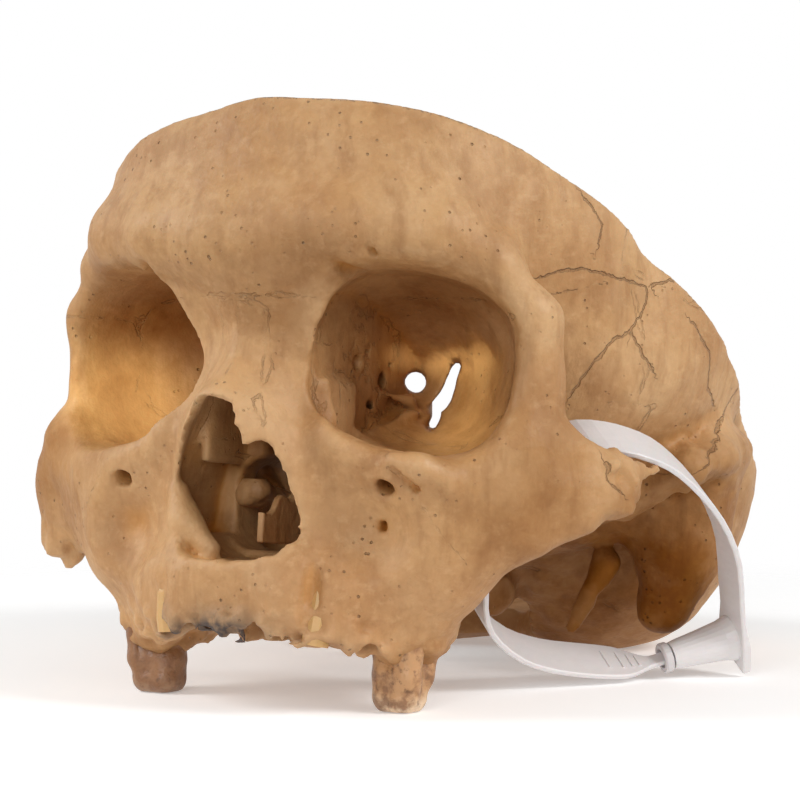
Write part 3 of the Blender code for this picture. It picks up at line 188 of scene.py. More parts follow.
# The territories of the bones: outlines seen from the front (x, z), the side (y, z) or above (x, y)
NASAL_shares = [(0, .275), (.055, .26), (.048, .18), (.065, .10), (.09, .03), (.09, -.02), (0, -.02)]
NASAL_DEPTH_shares = (-1.15, -.87)
LACRIMAL_shares = [(.083, .01), (.14, .01), (.14, .20), (.083, .20)]
LACRIMAL_DEPTH_shares = (-.82, -.73)
ETHMOID_shares = [(-.122, -.02), (.122, -.02), (.122, .33), (-.122, .33)]
ETHMOID_DEPTH_shares = (-.80, -.46)
PALATINE_shares = [(0, -.42), (.20, -.42), (.20, -.16), (0, -.16)]
PALATINE_DEPTH_shares = (-.53, -.38)
ZYGOMATIC_shares = [
    (.335, .03), (.31, -.02), (.38, -.12), (.45, -.23), (.44, -.30), (.80, -.30), (.80, .26), (.44, .26),
    (.44, .10),
]
ZYGOMATIC_DEPTH_shares = (-.95, -.53)
CHEEK_ARCH_shares = [(.55, -.22), (.80, -.22), (.80, .12), (.55, .12)]
CHEEK_ARCH_DEPTH_shares = (-.60, -.25)
FRONTAL_shares = [
    (-1.20, .28), (-.88, .28), (-.80, .26), (-.62, .26), (-.52, .32), (-.42, .36), (-.38, .48), (-.38, 1.0),
    (-1.20, 1.0),
]
SPHENOID_shares = [
    (-.60, .30), (-.52, .33), (-.42, .363), (-.37, .40), (-.33, .25), (-.29, .08), (-.26, -.08), (-.24, -.45),
    (-.52, -.45), (-.55, -.20), (-.55, 0),
]
OCCIPITAL_shares = [
    (.07, -.24), (.09, -.14), (.17, -.02), (.24, .06), (.36, .22), (.48, .44), (.60, .60), (.60, 1.2),
    (-.60, 1.2), (-.60, .60), (-.48, .44), (-.36, .22), (-.24, .06), (-.17, -.02), (-.09, -.14), (-.07, -.24),
]
PARIETAL_shares = [(.08, .60), (.14, .18), (.24, .08), (.45, -.01), (.52, -.03), (.90, -.03), (.90, .60)]
PARIETAL_FRAGMENT_shares = [(-.40, .40), (-.30, .375), (-.20, .335), (-.12, .345), (-.12, .80), (-.40, .80)]
SIDE_REACH_shares = (-.90, .90)
MAXILLA_shares = [(-1.20, -.60), (-.38, -.60), (-.38, .60), (-1.20, .60)]
TEMPORAL_shares = [(-.38, -.60), (1.20, -.60), (1.20, .60), (-.38, .60)]

# Plates inside the nose
VOMER_shares = [(-.79, -.195), (-.44, -.195), (-.47, -.02), (-.79, .06)]
CONCHA_shares = [(.128, -.105), (.112, -.090), (.090, -.093)]

# Teeth
MOLAR_LEFT_shares = (.262, -.668, 0)
MOLAR_RIGHT_shares = (-.296, -.665, 0)
MOLAR_ROOT_shares = ((.030, -.024), (.030, .024), (-.026, 0))
# Rods that are cut away: sockets of lost teeth, and the small holes of the face
LOST_TOOTH_shares = [
    [(.045, -.885, -.46, .26), (.045, -.875, -.30, .16)],
    [(-.045, -.885, -.46, .26), (-.045, -.875, -.30, .16)],
    [(.105, -.872, -.46, .24), (.105, -.862, -.30, .15)],
    [(-.105, -.872, -.46, .24), (-.105, -.862, -.30, .15)],
    [(.238, -.775, -.46, .28), (.236, -.770, -.30, .17)],
    [(-.232, -.780, -.46, .28), (-.232, -.775, -.30, .17)],
    [(.272, -.575, -.46, .34), (.270, -.575, -.28, .22)],
]
FORAMEN_shares = [
    [(.30, -.86, -.09, .20), (.285, -.74, -.03, .18)], [(-.30, -.86, -.09, .20), (-.285, -.74, -.03, .18)],
    [(.215, -1.0, .335, .15), (.215, -.80, .33, .15)], [(-.215, -1.0, .335, .15), (-.215, -.80, .33, .15)],
    [(.275, -.86, -.155, .11), (.275, -.77, -.15, .11)],
    [(.182, -.890, -.225, .20), (.178, -.890, -.30, .20)],
    [(-.150, -.912, -.265, .17), (-.150, -.912, -.31, .17)],
]

# How the middle of the part's box lies from the skull's own origin
MIDDLE_shares = (-.02365, .06893)

# Fine forms that only the picture needs. Small holes: (x, y, z, radius) at both ends
FINE_HOLE_shares = [
    [(.11, -.525, .146, .19), (.09, -.515, .150, .17)], [(.11, -.492, .180, .08), (.09, -.49, .18, .08)],
    [(.124, -.640, .178, .13), (.112, -.635, .175, .16)], [(.11, -.568, .094, .11), (.09, -.54, .085, .09)],
    [(.118, -.60, .20, .06), (.09, -.60, .20, .06)], [(.10, -.47, .08, .16), (.10, -.44, .03, .13)],
    [(.325, -.875, -.045, .09), (.365, -.83, -.078, .10)],
    [(-.285, -.86, -.115, .06), (-.28, -.82, -.115, .06)], [(.276, -.93, .372, .07), (.276, -.88, .366, .07)],
]
# Thin broken plates: (x, y, z, radius) along each
SPLINTER_shares = [
    [(.135, -.60, .035, .07), (.165, -.50, .075, .05), (.205, -.44, .10, .03)],
    [(.120, -.53, .12, .07), (.150, -.47, .11, .05), (.18, -.44, .075, .04)],
    [(.120, -.56, .05, .08), (.155, -.49, .04, .05), (.19, -.45, .05, .04)],
    [(-.155, -.85, -.10, .22), (-.130, -.86, -.160, .26), (-.07, -.86, -.212, .22)],
    [(.132, -.790, .12, .11), (.134, -.785, .05, .12), (.138, -.780, -.02, .12)],
    [(-.135, -.800, .12, .13), (-.135, -.785, .05, .17), (-.140, -.770, -.02, .15)],
    [(-.128, -.760, .09, .10), (-.126, -.700, .05, .12), (-.126, -.640, .02, .10)],
]
# Bone that swells round the molars, and the fold over the hole below the left eye
COLLAR_BONE_shares = [
    [(.235, -.73, -.350, .52), (.275, -.66, -.352, .66), (.265, -.58, -.350, .55)],
    [(.325, -.865, -.030, .10), (.375, -.850, -.038, .12), (.415, -.820, -.062, .10)],
    [(-.255, -.73, -.352, .56), (-.300, -.66, -.356, .72), (-.285, -.58, -.350, .60)],
]
# Thin plates of the orbits' inner walls, behind the nose's rim: centre and half sizes
INNER_PLATE_shares = ((.122, -.735, .045), (.010, .080, .085))
# Where the bone is rough or broken: (centre, reach, how deep, grain)
ROUGH_SPOTS_shares = [
    ((.02, -.86, -.380), (.30, .14, .045), .34, .022), ((.25, -.62, -.385), (.10, .26, .04), .20, .022),
    ((-.27, -.62, -.385), (.10, .26, .04), .20, .022), ((.655, -.45, -.05), (.07, .10, .08), .30, .030),
    ((-.575, -.62, -.25), (.09, .12, .07), .22, .026), ((.01, -.86, -.18), (.09, .10, .04), .40, .020),
    ((.13, -.62, .03), (.05, .16, .04), .07, .016), ((0, .02, -.25), (.50, .40, .16), .08, .030),
    ((.11, -.80, .25), (.07, .06, .07), .05, .012), ((.60, -.06, -.03), (.14, .20, .10), .10, .025),
]
WAVE_shares = ((.12, .050), (.045, .022), (.020, .010))
CLOSE_REACH, WIDE_REACH = .003, .006
TABLE_MARGIN = .0001
RAGGED_share = .35
FINE_STEP = .0004
VOMER_HALF_share, VOMER_EDGE_shares = .007, (-.135, .42)

Shape = namedtuple("Shape", "distance low high")


def spot(shares):
    """A place in the skull's own frame, from its shares of width, length and height."""
    return np.array(shares, float) * SPAN


def turned(x, y, z, centre, degrees):
    """Places taken from a centre, and turned about the vertical through it."""
    x, y, z = x - centre[0], y - centre[1], z - centre[2]
    c, s = math.cos(math.radians(degrees)), math.sin(math.radians(degrees))
    return c * x + s * y, c * y - s * x, z


def ball(centre_shares, radius_shares):
    """An ellipsoid."""
    centre = spot(centre_shares)
    radii = spot(radius_shares)

    def distance(x, y, z):
        x, y, z = x - centre[0], y - centre[1], z - centre[2]
        near = np.sqrt((x / radii[0]) ** 2 + (y / radii[1]) ** 2 + (z / radii[2]) ** 2)
        steep = np.sqrt((x / radii[0] ** 2) ** 2 + (y / radii[1] ** 2) ** 2 + (z / radii[2] ** 2) ** 2)
        return near * (near - 1) / np.maximum(steep, SMALLEST)

    return Shape(distance, centre - radii, centre + radii)


def bar(point_shares):
    """A round bar through places with a radius each."""
    points = [spot(point[:3]) for point in point_shares]
    radii = [point[3] * BAR_RADIUS for point in point_shares]

    def distance(x, y, z):
        best = None
        for i in range(len(points) - 1):
            run = points[i + 1] - points[i]
            dx, dy, dz = x - points[i][0], y - points[i][1], z - points[i][2]
            along = np.clip((dx * run[0] + dy * run[1] + dz * run[2]) / (run @ run), 0, 1)
            dx, dy, dz = dx - along * run[0], dy - along * run[1], dz - along * run[2]
            gap = np.sqrt(dx ** 2 + dy ** 2 + dz ** 2)
            gap = gap - radii[i] - along * (radii[i + 1] - radii[i])
            best = gap if best is None else soft_least(best, gap, BAR_BLEND_share * BLEND)
        return best

    low = np.min([point - radius for point, radius in zip(points, radii)], axis=0)
    high = np.max([point + radius for point, radius in zip(points, radii)], axis=0)
    return Shape(distance, low, high)


def slab(centre_shares, half_shares, rounding_share, degrees=0):
    """A block with rounded edges."""
    centre, half = spot(centre_shares), spot(half_shares)
    edge = min(rounding_share * BAR_RADIUS, half.min() * ALMOST_ALL_share)

    def distance(x, y, z):
        x, y, z = turned(x, y, z, centre, degrees)
        x, y, z = np.abs(x) - half[0] + edge, np.abs(y) - half[1] + edge, np.abs(z) - half[2] + edge
        outside = np.sqrt(np.maximum(x, 0) ** 2 + np.maximum(y, 0) ** 2 + np.maximum(z, 0) ** 2)
        return outside + np.minimum(np.maximum(x, np.maximum(y, z)), 0) - edge

    reach = half if not degrees else np.full(3, np.linalg.norm(half))
    return Shape(distance, centre - reach, centre + reach)


def opening(outline, front, back):
    """An outline seen from the front, pushed through along the skull's length."""
    def distance(x, y, z):
        flat = outline_gap(outline, x + 0 * z, z + 0 * x)
        return np.maximum(flat + 0 * y, np.maximum(y - back, front - y))

    points = np.array(outline)
    low = np.array([points[:, 0].min(), front, points[:, 1].min()])
    high = np.array([points[:, 0].max(), back, points[:, 1].max()])
    return Shape(distance, low, high)


def bridge(inset, side_share, low_share, high_share):
    """The bridge of the nose: an arched roof whose ridge and flanks change with height."""
    rows = np.array(BRIDGE_shares).T
    side = side_share * SKULL_WIDTH
    back = BRIDGE_BACK_share * SKULL_LENGTH
    low, high = low_share * SKULL_HEIGHT, high_share * SKULL_HEIGHT

    def distance(x, y, z):
        level = z / SKULL_HEIGHT
        ridge, reach, flank, power = [np.interp(level, rows[0], row).astype(np.float32) for row in rows[1:]]
        ridge, reach, flank = ridge * SKULL_LENGTH, reach * SKULL_WIDTH, flank * SKULL_LENGTH
        part = np.minimum(np.abs(x) / reach, 1)
        surface = ridge + (flank - ridge) * part ** power + inset
        slope = (flank - ridge) * power * part ** (power - 1) / reach
        gap = (surface - y) / np.sqrt(1 + slope ** 2)
        gap = np.maximum(gap, np.abs(x) - reach + side)
        return np.maximum(np.maximum(gap, y - back), np.maximum(low - z, z - high))

    width = rows[2].max() * SKULL_WIDTH
    front = rows[1].min() * SKULL_LENGTH
    return Shape(distance, np.array([-width, front, low]), np.array([width, back, high]))


def orbit(wall, start_share):
    """The eye socket: a squarish cone that leans and narrows toward its apex, with a straight inner wall."""
    centre, apex = spot(ORBIT_CENTRE_shares), spot(ORBIT_APEX_shares)
    axis = (apex - centre) / np.linalg.norm(apex - centre)
    side = np.cross(axis, [0, 0, 1.0])
    side = side / np.linalg.norm(side)
    side = side if side[0] > 0 else -side
    over = np.cross(axis, side)
    over = over if over[2] > 0 else -over
    lean = math.radians(ORBIT_LEAN_DEGREES)
    across = side * math.cos(lean) + over * math.sin(lean)
    up = over * math.cos(lean) - side * math.sin(lean)
    depths = np.array(ORBIT_DEPTH_shares) * ORBIT_DEPTH
    start = start_share * ORBIT_DEPTH
    power = ORBIT_SQUARENESS

    def distance(x, y, z):
        inner = ORBIT_INNER_share * SKULL_WIDTH - wall - x
        x, y, z = x - centre[0], y - centre[1], z - centre[2]
        deep = x * axis[0] + y * axis[1] + z * axis[2]
        u = np.abs(x * across[0] + y * across[1] + z * across[2])
        v = np.abs(x * up[0] + y * up[1] + z * up[2])
        girth = np.interp(deep, depths, ORBIT_GIRTH_shares).astype(np.float32)
        half_u, half_v = girth * ORBIT_WIDTH / 2 + wall, girth * ORBIT_HEIGHT / 2 + wall
        ring = ((u / half_u) ** power + (v / half_v) ** power) ** (1 / power)
        gap = (ring - 1) * np.minimum(half_u, half_v)
        return np.maximum(np.maximum(gap, inner), np.maximum(deep - depths[-1] - wall, start - deep))

    ends = np.array([centre + axis * start, centre + axis * (ORBIT_DEPTH + wall)])
    reach = ORBIT_REACH_share * ORBIT_WIDTH + wall
    return Shape(distance, ends.min(axis=0) - reach, ends.max(axis=0) + reach)


def soft_least(a, b, width):
    """The lesser of two distances, rounded over a width where they meet."""
    if width <= 0:
        return np.minimum(a, b)
    h = np.clip(.5 + .5 * (b - a) / width, 0, 1)
    return b + (a - b) * h - width * h * (1 - h)


def blurred(values, cells):
    """The mean over a block of cells, twice."""
    for _ in range(2):
        for axis in range(3):
            count = values.shape[axis]
            total = np.cumsum(values, axis=axis, dtype=np.float64)
            high = np.minimum(np.arange(count) + cells, count - 1)
            low = np.maximum(np.arange(count) - cells - 1, -1)
            shape = [1, 1, 1]
            shape[axis] = count
            before = np.take(total, np.maximum(low, 0), axis=axis) * (low >= 0).reshape(shape)
            values = (np.take(total, high, axis=axis) - before) / (high - low).reshape(shape)
    return values.astype(np.float32)


class Field:
    """Signed distances on a grid: below zero is bone."""

    def __init__(self, step, low_shares=FIELD_LOW_shares, high_shares=FIELD_HIGH_shares):
        self.low, self.step = spot(low_shares), step
        self.size = np.ceil((spot(high_shares) - self.low) / step).astype(int) + 1
        self.values = np.full(self.size, FAR_AWAY, np.float32)
        self.axes = [(self.low[i] + step * np.arange(self.size[i])).astype(np.float32) for i in range(3)]

    def places(self, window=(slice(None),) * 3):
        return (self.axes[0][window[0]][:, None, None], self.axes[1][window[1]][None, :, None],
                self.axes[2][window[2]][None, None, :])

    def blend(self, shape, blend_share, adding, mirrored):
        low, high = shape.low.copy(), shape.high.copy()
        if mirrored:
            low[0] = -high[0]
        width = blend_share * BLEND
        window = []
        for i in range(3):
            start = int((low[i] - width - GRID_MARGIN - self.low[i]) // self.step)
            stop = int((high[i] + width + GRID_MARGIN - self.low[i]) // self.step) + 2
            window.append(slice(max(start, 0), max(min(stop, self.size[i]), 0)))
        window = tuple(window)
        x, y, z = self.places(window)
        gap = shape.distance(np.abs(x) if mirrored else x, y, z)
        sign = 1 if adding else -1
        self.values[window] = sign * soft_least(sign * self.values[window], gap, width)

    def join(self, *shapes, blend_share=0, mirrored=False):
        for shape in shapes:
            self.blend(shape, blend_share, True, mirrored)

    def cut(self, *shapes, blend_share=0, mirrored=False):
        for shape in shapes:
            self.blend(shape, blend_share, False, mirrored)

    def keep_below(self, gap):
        self.values = np.maximum(self.values, gap).astype(np.float32)

    def soften(self, centre_shares, reach_shares, width_share):
        """Smooths the surface round a place."""
        part = near(*self.places(), centre_shares, reach_shares).astype(np.float32)
        mean = blurred(np.clip(self.values, -BLEND, BLEND), int(width_share * BLEND / self.step))
        mixed = self.values * (1 - part) + mean * part
        self.values = np.where(part > FAINT_share, mixed, self.values).astype(np.float32)


def skull(step):
    """The whole skull as one field, before it is cut along its sutures."""
    field = Field(step)
    join, cut = field.join, field.cut
    for centre, radii, blend_share in VAULT_BALL_shares:
        join(ball(centre, radii), blend_share=blend_share, mirrored=True)
    x, y, z = field.places()
    floor = HOLLOW_FLOOR_share * SKULL_HEIGHT
    floor = floor - HOLLOW_SLOPE * np.maximum(0, y - HOLLOW_BACK_share * SKULL_LENGTH)
    field.keep_below(-np.maximum(field.values + VAULT_WALL, floor - z))
    # Base
    join(ball(*SPHENOID_BALL_shares), bar(CLIVUS_shares), blend_share=.5)
    join(bar(PETROUS_shares), bar(PETROUS_ROOT_shares), bar(MASTOID_shares), blend_share=.6, mirrored=True)
    join(bar(CONDYLE_shares), bar(WING_RIDGE_shares), bar(STYLOID_shares), blend_share=.3, mirrored=True)
    join(bar(CREST_shares), bar(JAW_SOCKET_shares), blend_share=.5, mirrored=True)
    join(slab(*OUTER_WING_shares, .15, WING_TURN_DEGREES), slab(*INNER_WING_shares, .15), blend_share=.2,
         mirrored=True)
    # Face
    join(bar(BROW_shares), blend_share=.7, mirrored=True)
    join(ball(*GLABELLA_shares), blend_share=.8)
    join(orbit(ORBIT_WALL, ORBIT_START_shares[1]), blend_share=.3, mirrored=True)
    join(slab(*ETHMOID_BLOCK_shares, .5), blend_share=.3)
    join(bar(SIDE_RIM_shares), bar(SIDE_RIM_BACK_shares), blend_share=.6, mirrored=True)
    join(bar(LOWER_RIM_shares), bar(INNER_RIM_shares), blend_share=.4, mirrored=True)
    join(ball(*MAXILLA_BALL_shares), blend_share=.6, mirrored=True)
    join(ball(*MUZZLE_BALL_shares), blend_share=.5)
    join(bar(SOCKET_ARCH_TOP_shares), bar(SOCKET_ARCH_shares), blend_share=.5, mirrored=True)
    join(bridge(0, 0, BRIDGE_shares[0][0], BRIDGE_shares[-1][0]), blend_share=.5)
    join(ball(*TUBER_BALL_shares), blend_share=.4, mirrored=True)
    join(bar(CHEEK_PILLAR_shares), blend_share=.6, mirrored=True)
    join(bar(CHEEK_UPPER_shares), bar(CHEEK_MIDDLE_shares), bar(CHEEK_LOWER_shares), blend_share=.4,
         mirrored=True)
    join(slab(*PALATE_shares, .2), blend_share=.3)
    join(bar(RIGHT_CHEEK_shares), blend_share=.6)
    for centre, reach, width_share in SOFT_shares:
        field.soften(centre, reach, width_share)
    # Hollows
    cut(orbit(0, ORBIT_START_shares[0]), blend_share=.12, mirrored=True)
    cut(slab(*NOSE_CAVITY_shares, .6), slab(*NOSE_ROOF_shares, .4), blend_share=.1)
    cut(bridge(NASAL_PLATE, BRIDGE_HOLLOW_SIDE_share, BRIDGE_shares[1][0], BRIDGE_HOLLOW_TOP_share),
        blend_share=.1)
    cut(ball(*PALATE_DOME_shares), blend_share=.3)
    middle = APERTURE_CENTRE_share * SKULL_HEIGHT
    half = NASAL_WIDTH / 2
    outline = [(x_share * half, z_share * half + middle) for x_share, z_share in APERTURE_shares]
    front, back = [share * SKULL_LENGTH for share in APERTURE_DEPTH_shares]
    cut(opening(outline, front, back), blend_share=.1)
    cut(ball(*CANINE_DENT_shares), blend_share=.5, mirrored=True)
    for point_shares in ORBIT_HOLE_shares:
        cut(bar(point_shares))
    along = (y - MAGNUM_BACK_share * SKULL_LENGTH) / MAGNUM_LENGTH
    tunnel = (np.sqrt((2 * x / MAGNUM_WIDTH) ** 2 + (2 * along) ** 2) - 1) * MAGNUM_WIDTH / 2
    field.keep_below(-np.maximum(tunnel + 0 * z, np.maximum(z, MAGNUM_FOOT_share * SKULL_HEIGHT - z)))
    return field


def noise(field, size, seed):
    """Smooth random values from -1 to 1 on the field's grid."""
    rng = np.random.default_rng(seed)
    weights = []
    for axis in field.axes:
        at = (axis - axis[0]) / size
        low = at.astype(int)
        t = at - low
        t = t * t * (3 - 2 * t)
        table = np.zeros((len(axis), int(at[-1]) + 3), np.float32)
        rows = np.arange(len(axis))
        table[rows, low] = 1 - t
        table[rows, low + 1] = t
        weights.append(table)
    lattice = rng.uniform(-1, 1, [table.shape[1] for table in weights]).astype(np.float32)
    made = np.tensordot(weights[0], lattice, (1, 0))
    made = np.tensordot(made, weights[1], (1, 1))
    return np.tensordot(made, weights[2], (1, 1))


def near(x, y, z, centre_shares, reach_shares):
    """A soft mask: 1 at a place, falling to 0 past its reach."""
    centre, reach = spot(centre_shares), spot(reach_shares)
    return np.exp(-((x - centre[0]) / reach[0]) ** 2 - ((y - centre[1]) / reach[1]) ** 2
                  - ((z - centre[2]) / reach[2]) ** 2)


def weather(field):
    """Swellings, waves, plates, rough places, splinters and small holes."""
    for point_shares in COLLAR_BONE_shares:
        field.join(bar(point_shares), blend_share=.5)
    for seed, (grain_share, depth_share) in enumerate(WAVE_shares):
        field.values += depth_share * BAR_RADIUS * noise(field, grain_share * SKULL_LENGTH, seed)
    field.join(slab(*INNER_PLATE_shares, .08), blend_share=.2, mirrored=True)
    x, y, z = field.places()
    for seed, (centre, reach, depth_share, grain_share) in enumerate(ROUGH_SPOTS_shares):
        depth = depth_share * BAR_RADIUS * near(x, y, z, centre, reach)
        grain = noise(field, grain_share * SKULL_LENGTH, seed + len(WAVE_shares))
        field.values += depth * (grain + RAGGED_share)
    for point_shares in SPLINTER_shares:
        field.join(bar(point_shares), blend_share=.1)
    slit = np.array(ORBIT_HOLE_shares[1:])
    between = ((slit[1:] + slit[:-1]) / 2).tolist()
    for point_shares in FORAMEN_shares + LOST_TOOTH_shares + FINE_HOLE_shares + between:
        field.cut(bar(point_shares), blend_share=.06)


def stand(field):
    """Cuts off what would reach into the table."""
    _, y, z = field.places()
    tilted = math.radians(PITCH_DEGREES)
    field.keep_below(TABLE_MARGIN - REST_LIFT - y * math.sin(tilted) - z * math.cos(tilted))


def molar(place_shares, side, seed):
    """A worn molar: three roots, and a crown with grooves and a hollow in its chewing face."""
    x, y, _ = place_shares
    field = Field(FINE_STEP, (x - .085, y - .08, -.54), (x + .085, y + .08, -.28))
    field.join(slab((x, y, -.462), (.053, .046, .056), .38), blend_share=0)
    for dx, dy in MOLAR_ROOT_shares:
        field.join(bar([(x + side * dx * .75, y + dy, -.29, .19), (x + side * dx, y + dy, -.38, .26),
                        (x + side * dx, y + dy, -.44, .30)]), blend_share=.16)
    for dy in (-.004, .002):
        field.cut(bar([(x + side * .070, y + dy, -.36, .20), (x + side * .066, y + dy, -.50, .10)]),
                  blend_share=.14)
    field.cut(bar([(x - .01, y - .064, -.38, .22), (x - .012, y - .058, -.50, .10)]), blend_share=.14)
    field.cut(bar([(x - .02, y, -.535, .12), (x + .02, y + .005, -.535, .13)]), blend_share=.15)
    field.values += .012 * BAR_RADIUS * noise(field, .018 * SKULL_LENGTH, seed)
    field.values += .020 * BAR_RADIUS * noise(field, .045 * SKULL_LENGTH, seed + 1)
    stand(field)
    return field


def concha(side, seed):
    """The thin upper part of a scroll on the nose's side wall, broken at its front."""
    low, high = sorted((side * .06, side * .14))
    field = Field(FINE_STEP, (low, -.82, -.17), (high, -.49, -.07))
    for number, (x, z) in enumerate(CONCHA_shares):
        front = -.62 + .018 * ((number * 3 + seed) % 4)
        field.join(bar([(side * x, front, z - .006, .03), (side * x, -.64, z + .004, .11),
                        (side * x, -.53, z - .004, .08)]), blend_share=.30)
    field.values += .022 * BAR_RADIUS * noise(field, .020 * SKULL_LENGTH, seed)
    return field


def vomer():
    """The low plate between the halves of the nose, with a broken upper edge."""
    field = Field(FINE_STEP, (-.03, -.80, -.20), (.03, -.43, .07))
    field.join(opening_side(VOMER_shares, VOMER_HALF_share))
    x, y, z = field.places()
    away = (z - (VOMER_EDGE_shares[0] + VOMER_EDGE_shares[1] * (y / SKULL_LENGTH + .79)) * SKULL_HEIGHT)
    field.values += .010 * BAR_RADIUS * noise(field, .020 * SKULL_LENGTH, 5)
    field.keep_below((away + .30 * BAR_RADIUS * noise(field, .040 * SKULL_LENGTH, 6)).astype(np.float32))
    return field


def opening_side(outline_shares, half_share):
    """A plate with this outline seen from the side."""
    half = half_share * SKULL_WIDTH

    def distance(x, y, z):
        y, z = y + 0 * z, z + 0 * y
        flat = outline_gap(outline_shares, y / SKULL_LENGTH, z / SKULL_HEIGHT) * SKULL_LENGTH
        return np.maximum(flat + 0 * x, np.abs(x) - half)

    points = spot([(0, y, z) for y, z in outline_shares])
    reach = np.array([half, 0, 0])
    return Shape(distance, points.min(axis=0) - reach, points.max(axis=0) + reach)


def outline_gap(outline_shares, a, b):
    """How far places lie from an outline, less than zero inside it."""
    best, within = np.full(a.shape, np.inf), np.zeros(a.shape, bool)
    for (ax, ay), (bx, by) in zip(outline_shares, outline_shares[1:] + outline_shares[:1]):
        ex, ey = bx - ax, by - ay
        along = np.clip(((a - ax) * ex + (b - ay) * ey) / (ex * ex + ey * ey), 0, 1)
        best = np.minimum(best, np.hypot(a - ax - along * ex, b - ay - along * ey))
        if ey:
            within ^= ((ay > b) != (by > b)) & (a < ex * (b - ay) / ey + ax)
    return np.where(within, -best, best)


def surfaced(field):
    """The field's surface: its points, its faces and their smooth normals."""
    grid = openvdb.FloatGrid()
    grid.copyFromArray(field.values)
    points, _, quads = grid.convertToPolygons(0.0, 0.0)
    points = points.astype(np.float64) * field.step + field.low
    faces = quads.astype(np.int64)
    cross = np.cross(points[faces[:, 2]] - points[faces[:, 0]], points[faces[:, 3]] - points[faces[:, 1]])
    normals = np.zeros_like(points)
    for corner in range(4):
        for axis in range(3):
            normals[:, axis] += np.bincount(faces[:, corner], cross[:, axis], len(points))
    normals = normals / np.maximum(np.linalg.norm(normals, axis=1), SMALLEST ** 2)[:, None]
    return points, faces, normals


def sampled(field, values, points):
    """The grid's values at places."""
    at = (points - field.low) / field.step
    low = np.clip(at.astype(int), 0, field.size - 2)
    t = np.clip(at - low, 0, 1)
    total = 0
    for i in (0, 1):
        for j in (0, 1):
            for k in (0, 1):
                weight = (t[:, 0] if i else 1 - t[:, 0]) * (t[:, 1] if j else 1 - t[:, 1])
                weight = weight * (t[:, 2] if k else 1 - t[:, 2])
                total = total + weight * values[low[:, 0] + i, low[:, 1] + j, low[:, 2] + k]
    return total


def saw_height(x, y):
    """How high the saw left the bone at a place seen from above."""
    line = np.array(SAW_LINE_shares)
    over = np.interp(y, line[:, 0] * SKULL_LENGTH, line[:, 1] * SKULL_HEIGHT)
    tilt = np.interp(y, line[:, 0] * SKULL_LENGTH, np.array(SAW_TILT_shares) * SKULL_HEIGHT)
    return over + tilt * np.maximum(-x, 0) / (-SIDE_REACH_shares[0] * SKULL_WIDTH)


def bone_gaps(places):
    """How far places lie from each bone's sutures, by name: less than zero in the bone."""
    x, y, z = (places / SPAN).T
    gaps, taken = {}, np.full(len(places), np.inf)

    def claim(name, gap):
        nonlocal taken
        gaps[name] = np.maximum(gap, -taken)
        taken = np.minimum(taken, gap)

    def sides(name, gap_at):
        claim(name + "_left", gap_at(1))
        claim(name + "_right", gap_at(-1))

    def from_front(outline_shares, depth_shares):
        depth = np.maximum(depth_shares[0] - y, y - depth_shares[1])
        return lambda side: np.maximum(outline_gap(outline_shares, side * x, z), depth)

    def from_side(outline_shares):
        return lambda side: np.maximum(outline_gap(outline_shares, y, z), -side * x)

    cheek = from_front(ZYGOMATIC_shares, ZYGOMATIC_DEPTH_shares)
    arch = from_front(CHEEK_ARCH_shares, CHEEK_ARCH_DEPTH_shares)
    sides("nasal", from_front(NASAL_shares, NASAL_DEPTH_shares))
    sides("lacrimal", from_front(LACRIMAL_shares, LACRIMAL_DEPTH_shares))
    claim("ethmoid", from_front(ETHMOID_shares, ETHMOID_DEPTH_shares)(1))
    sides("palatine", from_front(PALATINE_shares, PALATINE_DEPTH_shares))
    sides("zygomatic", lambda side: np.minimum(cheek(side), arch(side)))
    claim("sphenoid", outline_gap(SPHENOID_shares, y, z))
    claim("frontal", outline_gap(FRONTAL_shares, y, z))
    claim("occipital", outline_gap(OCCIPITAL_shares, x, y))
    sides("parietal_fragment", from_side(PARIETAL_FRAGMENT_shares))
    sides("parietal", from_side(PARIETAL_shares))
    sides("maxilla", from_side(MAXILLA_shares))
    sides("temporal", from_side(TEMPORAL_shares))
    return gaps


def crack_gaps(places):
    """How far places on the left side lie from the nearest crack, and on which side of it."""
    x, y, z = (places / SPAN).T
    nearest, side = np.full(len(places), np.inf), np.ones(len(places))
    for line in CRACK_shares:
        for (ay, az), (by, bz) in zip(line, line[1:]):
            ey, ez = by - ay, bz - az
            along = np.clip(((y - ay) * ey + (z - az) * ez) / (ey * ey + ez * ez), 0, 1)
            gap = np.hypot(y - ay - along * ey, z - az - along * ez) + np.maximum(CRACK_SIDE_share - x, 0)
            side = np.where(gap < nearest, np.sign(ey * (z - az) - ez * (y - ay)), side)
            nearest = np.minimum(nearest, gap)
    return nearest * side, nearest


def skin(name, points, faces, normals, values):
    """A mesh on the table from arrays in the skull's own frame, with its normals and its vertex values."""
    turn = np.array(POSE.to_3x3())
    points, normals = points @ turn.T + np.array(POSE.translation), normals @ turn.T
    used, number = np.unique(faces.ravel(), return_inverse=True)
    mesh = bpy.data.meshes.new(name)
    mesh.vertices.add(len(used))
    mesh.vertices.foreach_set("co", points[used].ravel())
    mesh.loops.add(len(number))
    mesh.loops.foreach_set("vertex_index", number.astype(np.int32).ravel())
    mesh.polygons.add(len(faces))
    mesh.polygons.foreach_set("loop_start", np.arange(0, 4 * len(faces), 4, dtype=np.int32))
    mesh.update(calc_edges=True)
    mesh.validate()
    mesh.shade_smooth()
    for key, array in values.items():
        layer = mesh.attributes.new(key, "FLOAT", "POINT")
        layer.data.foreach_set("value", array[used].astype(np.float32))
    mesh.normals_split_custom_set_from_vertices(normals[used])
    made = bpy.data.objects.new(name, mesh)
    bpy.context.scene.collection.objects.link(made)
    return made


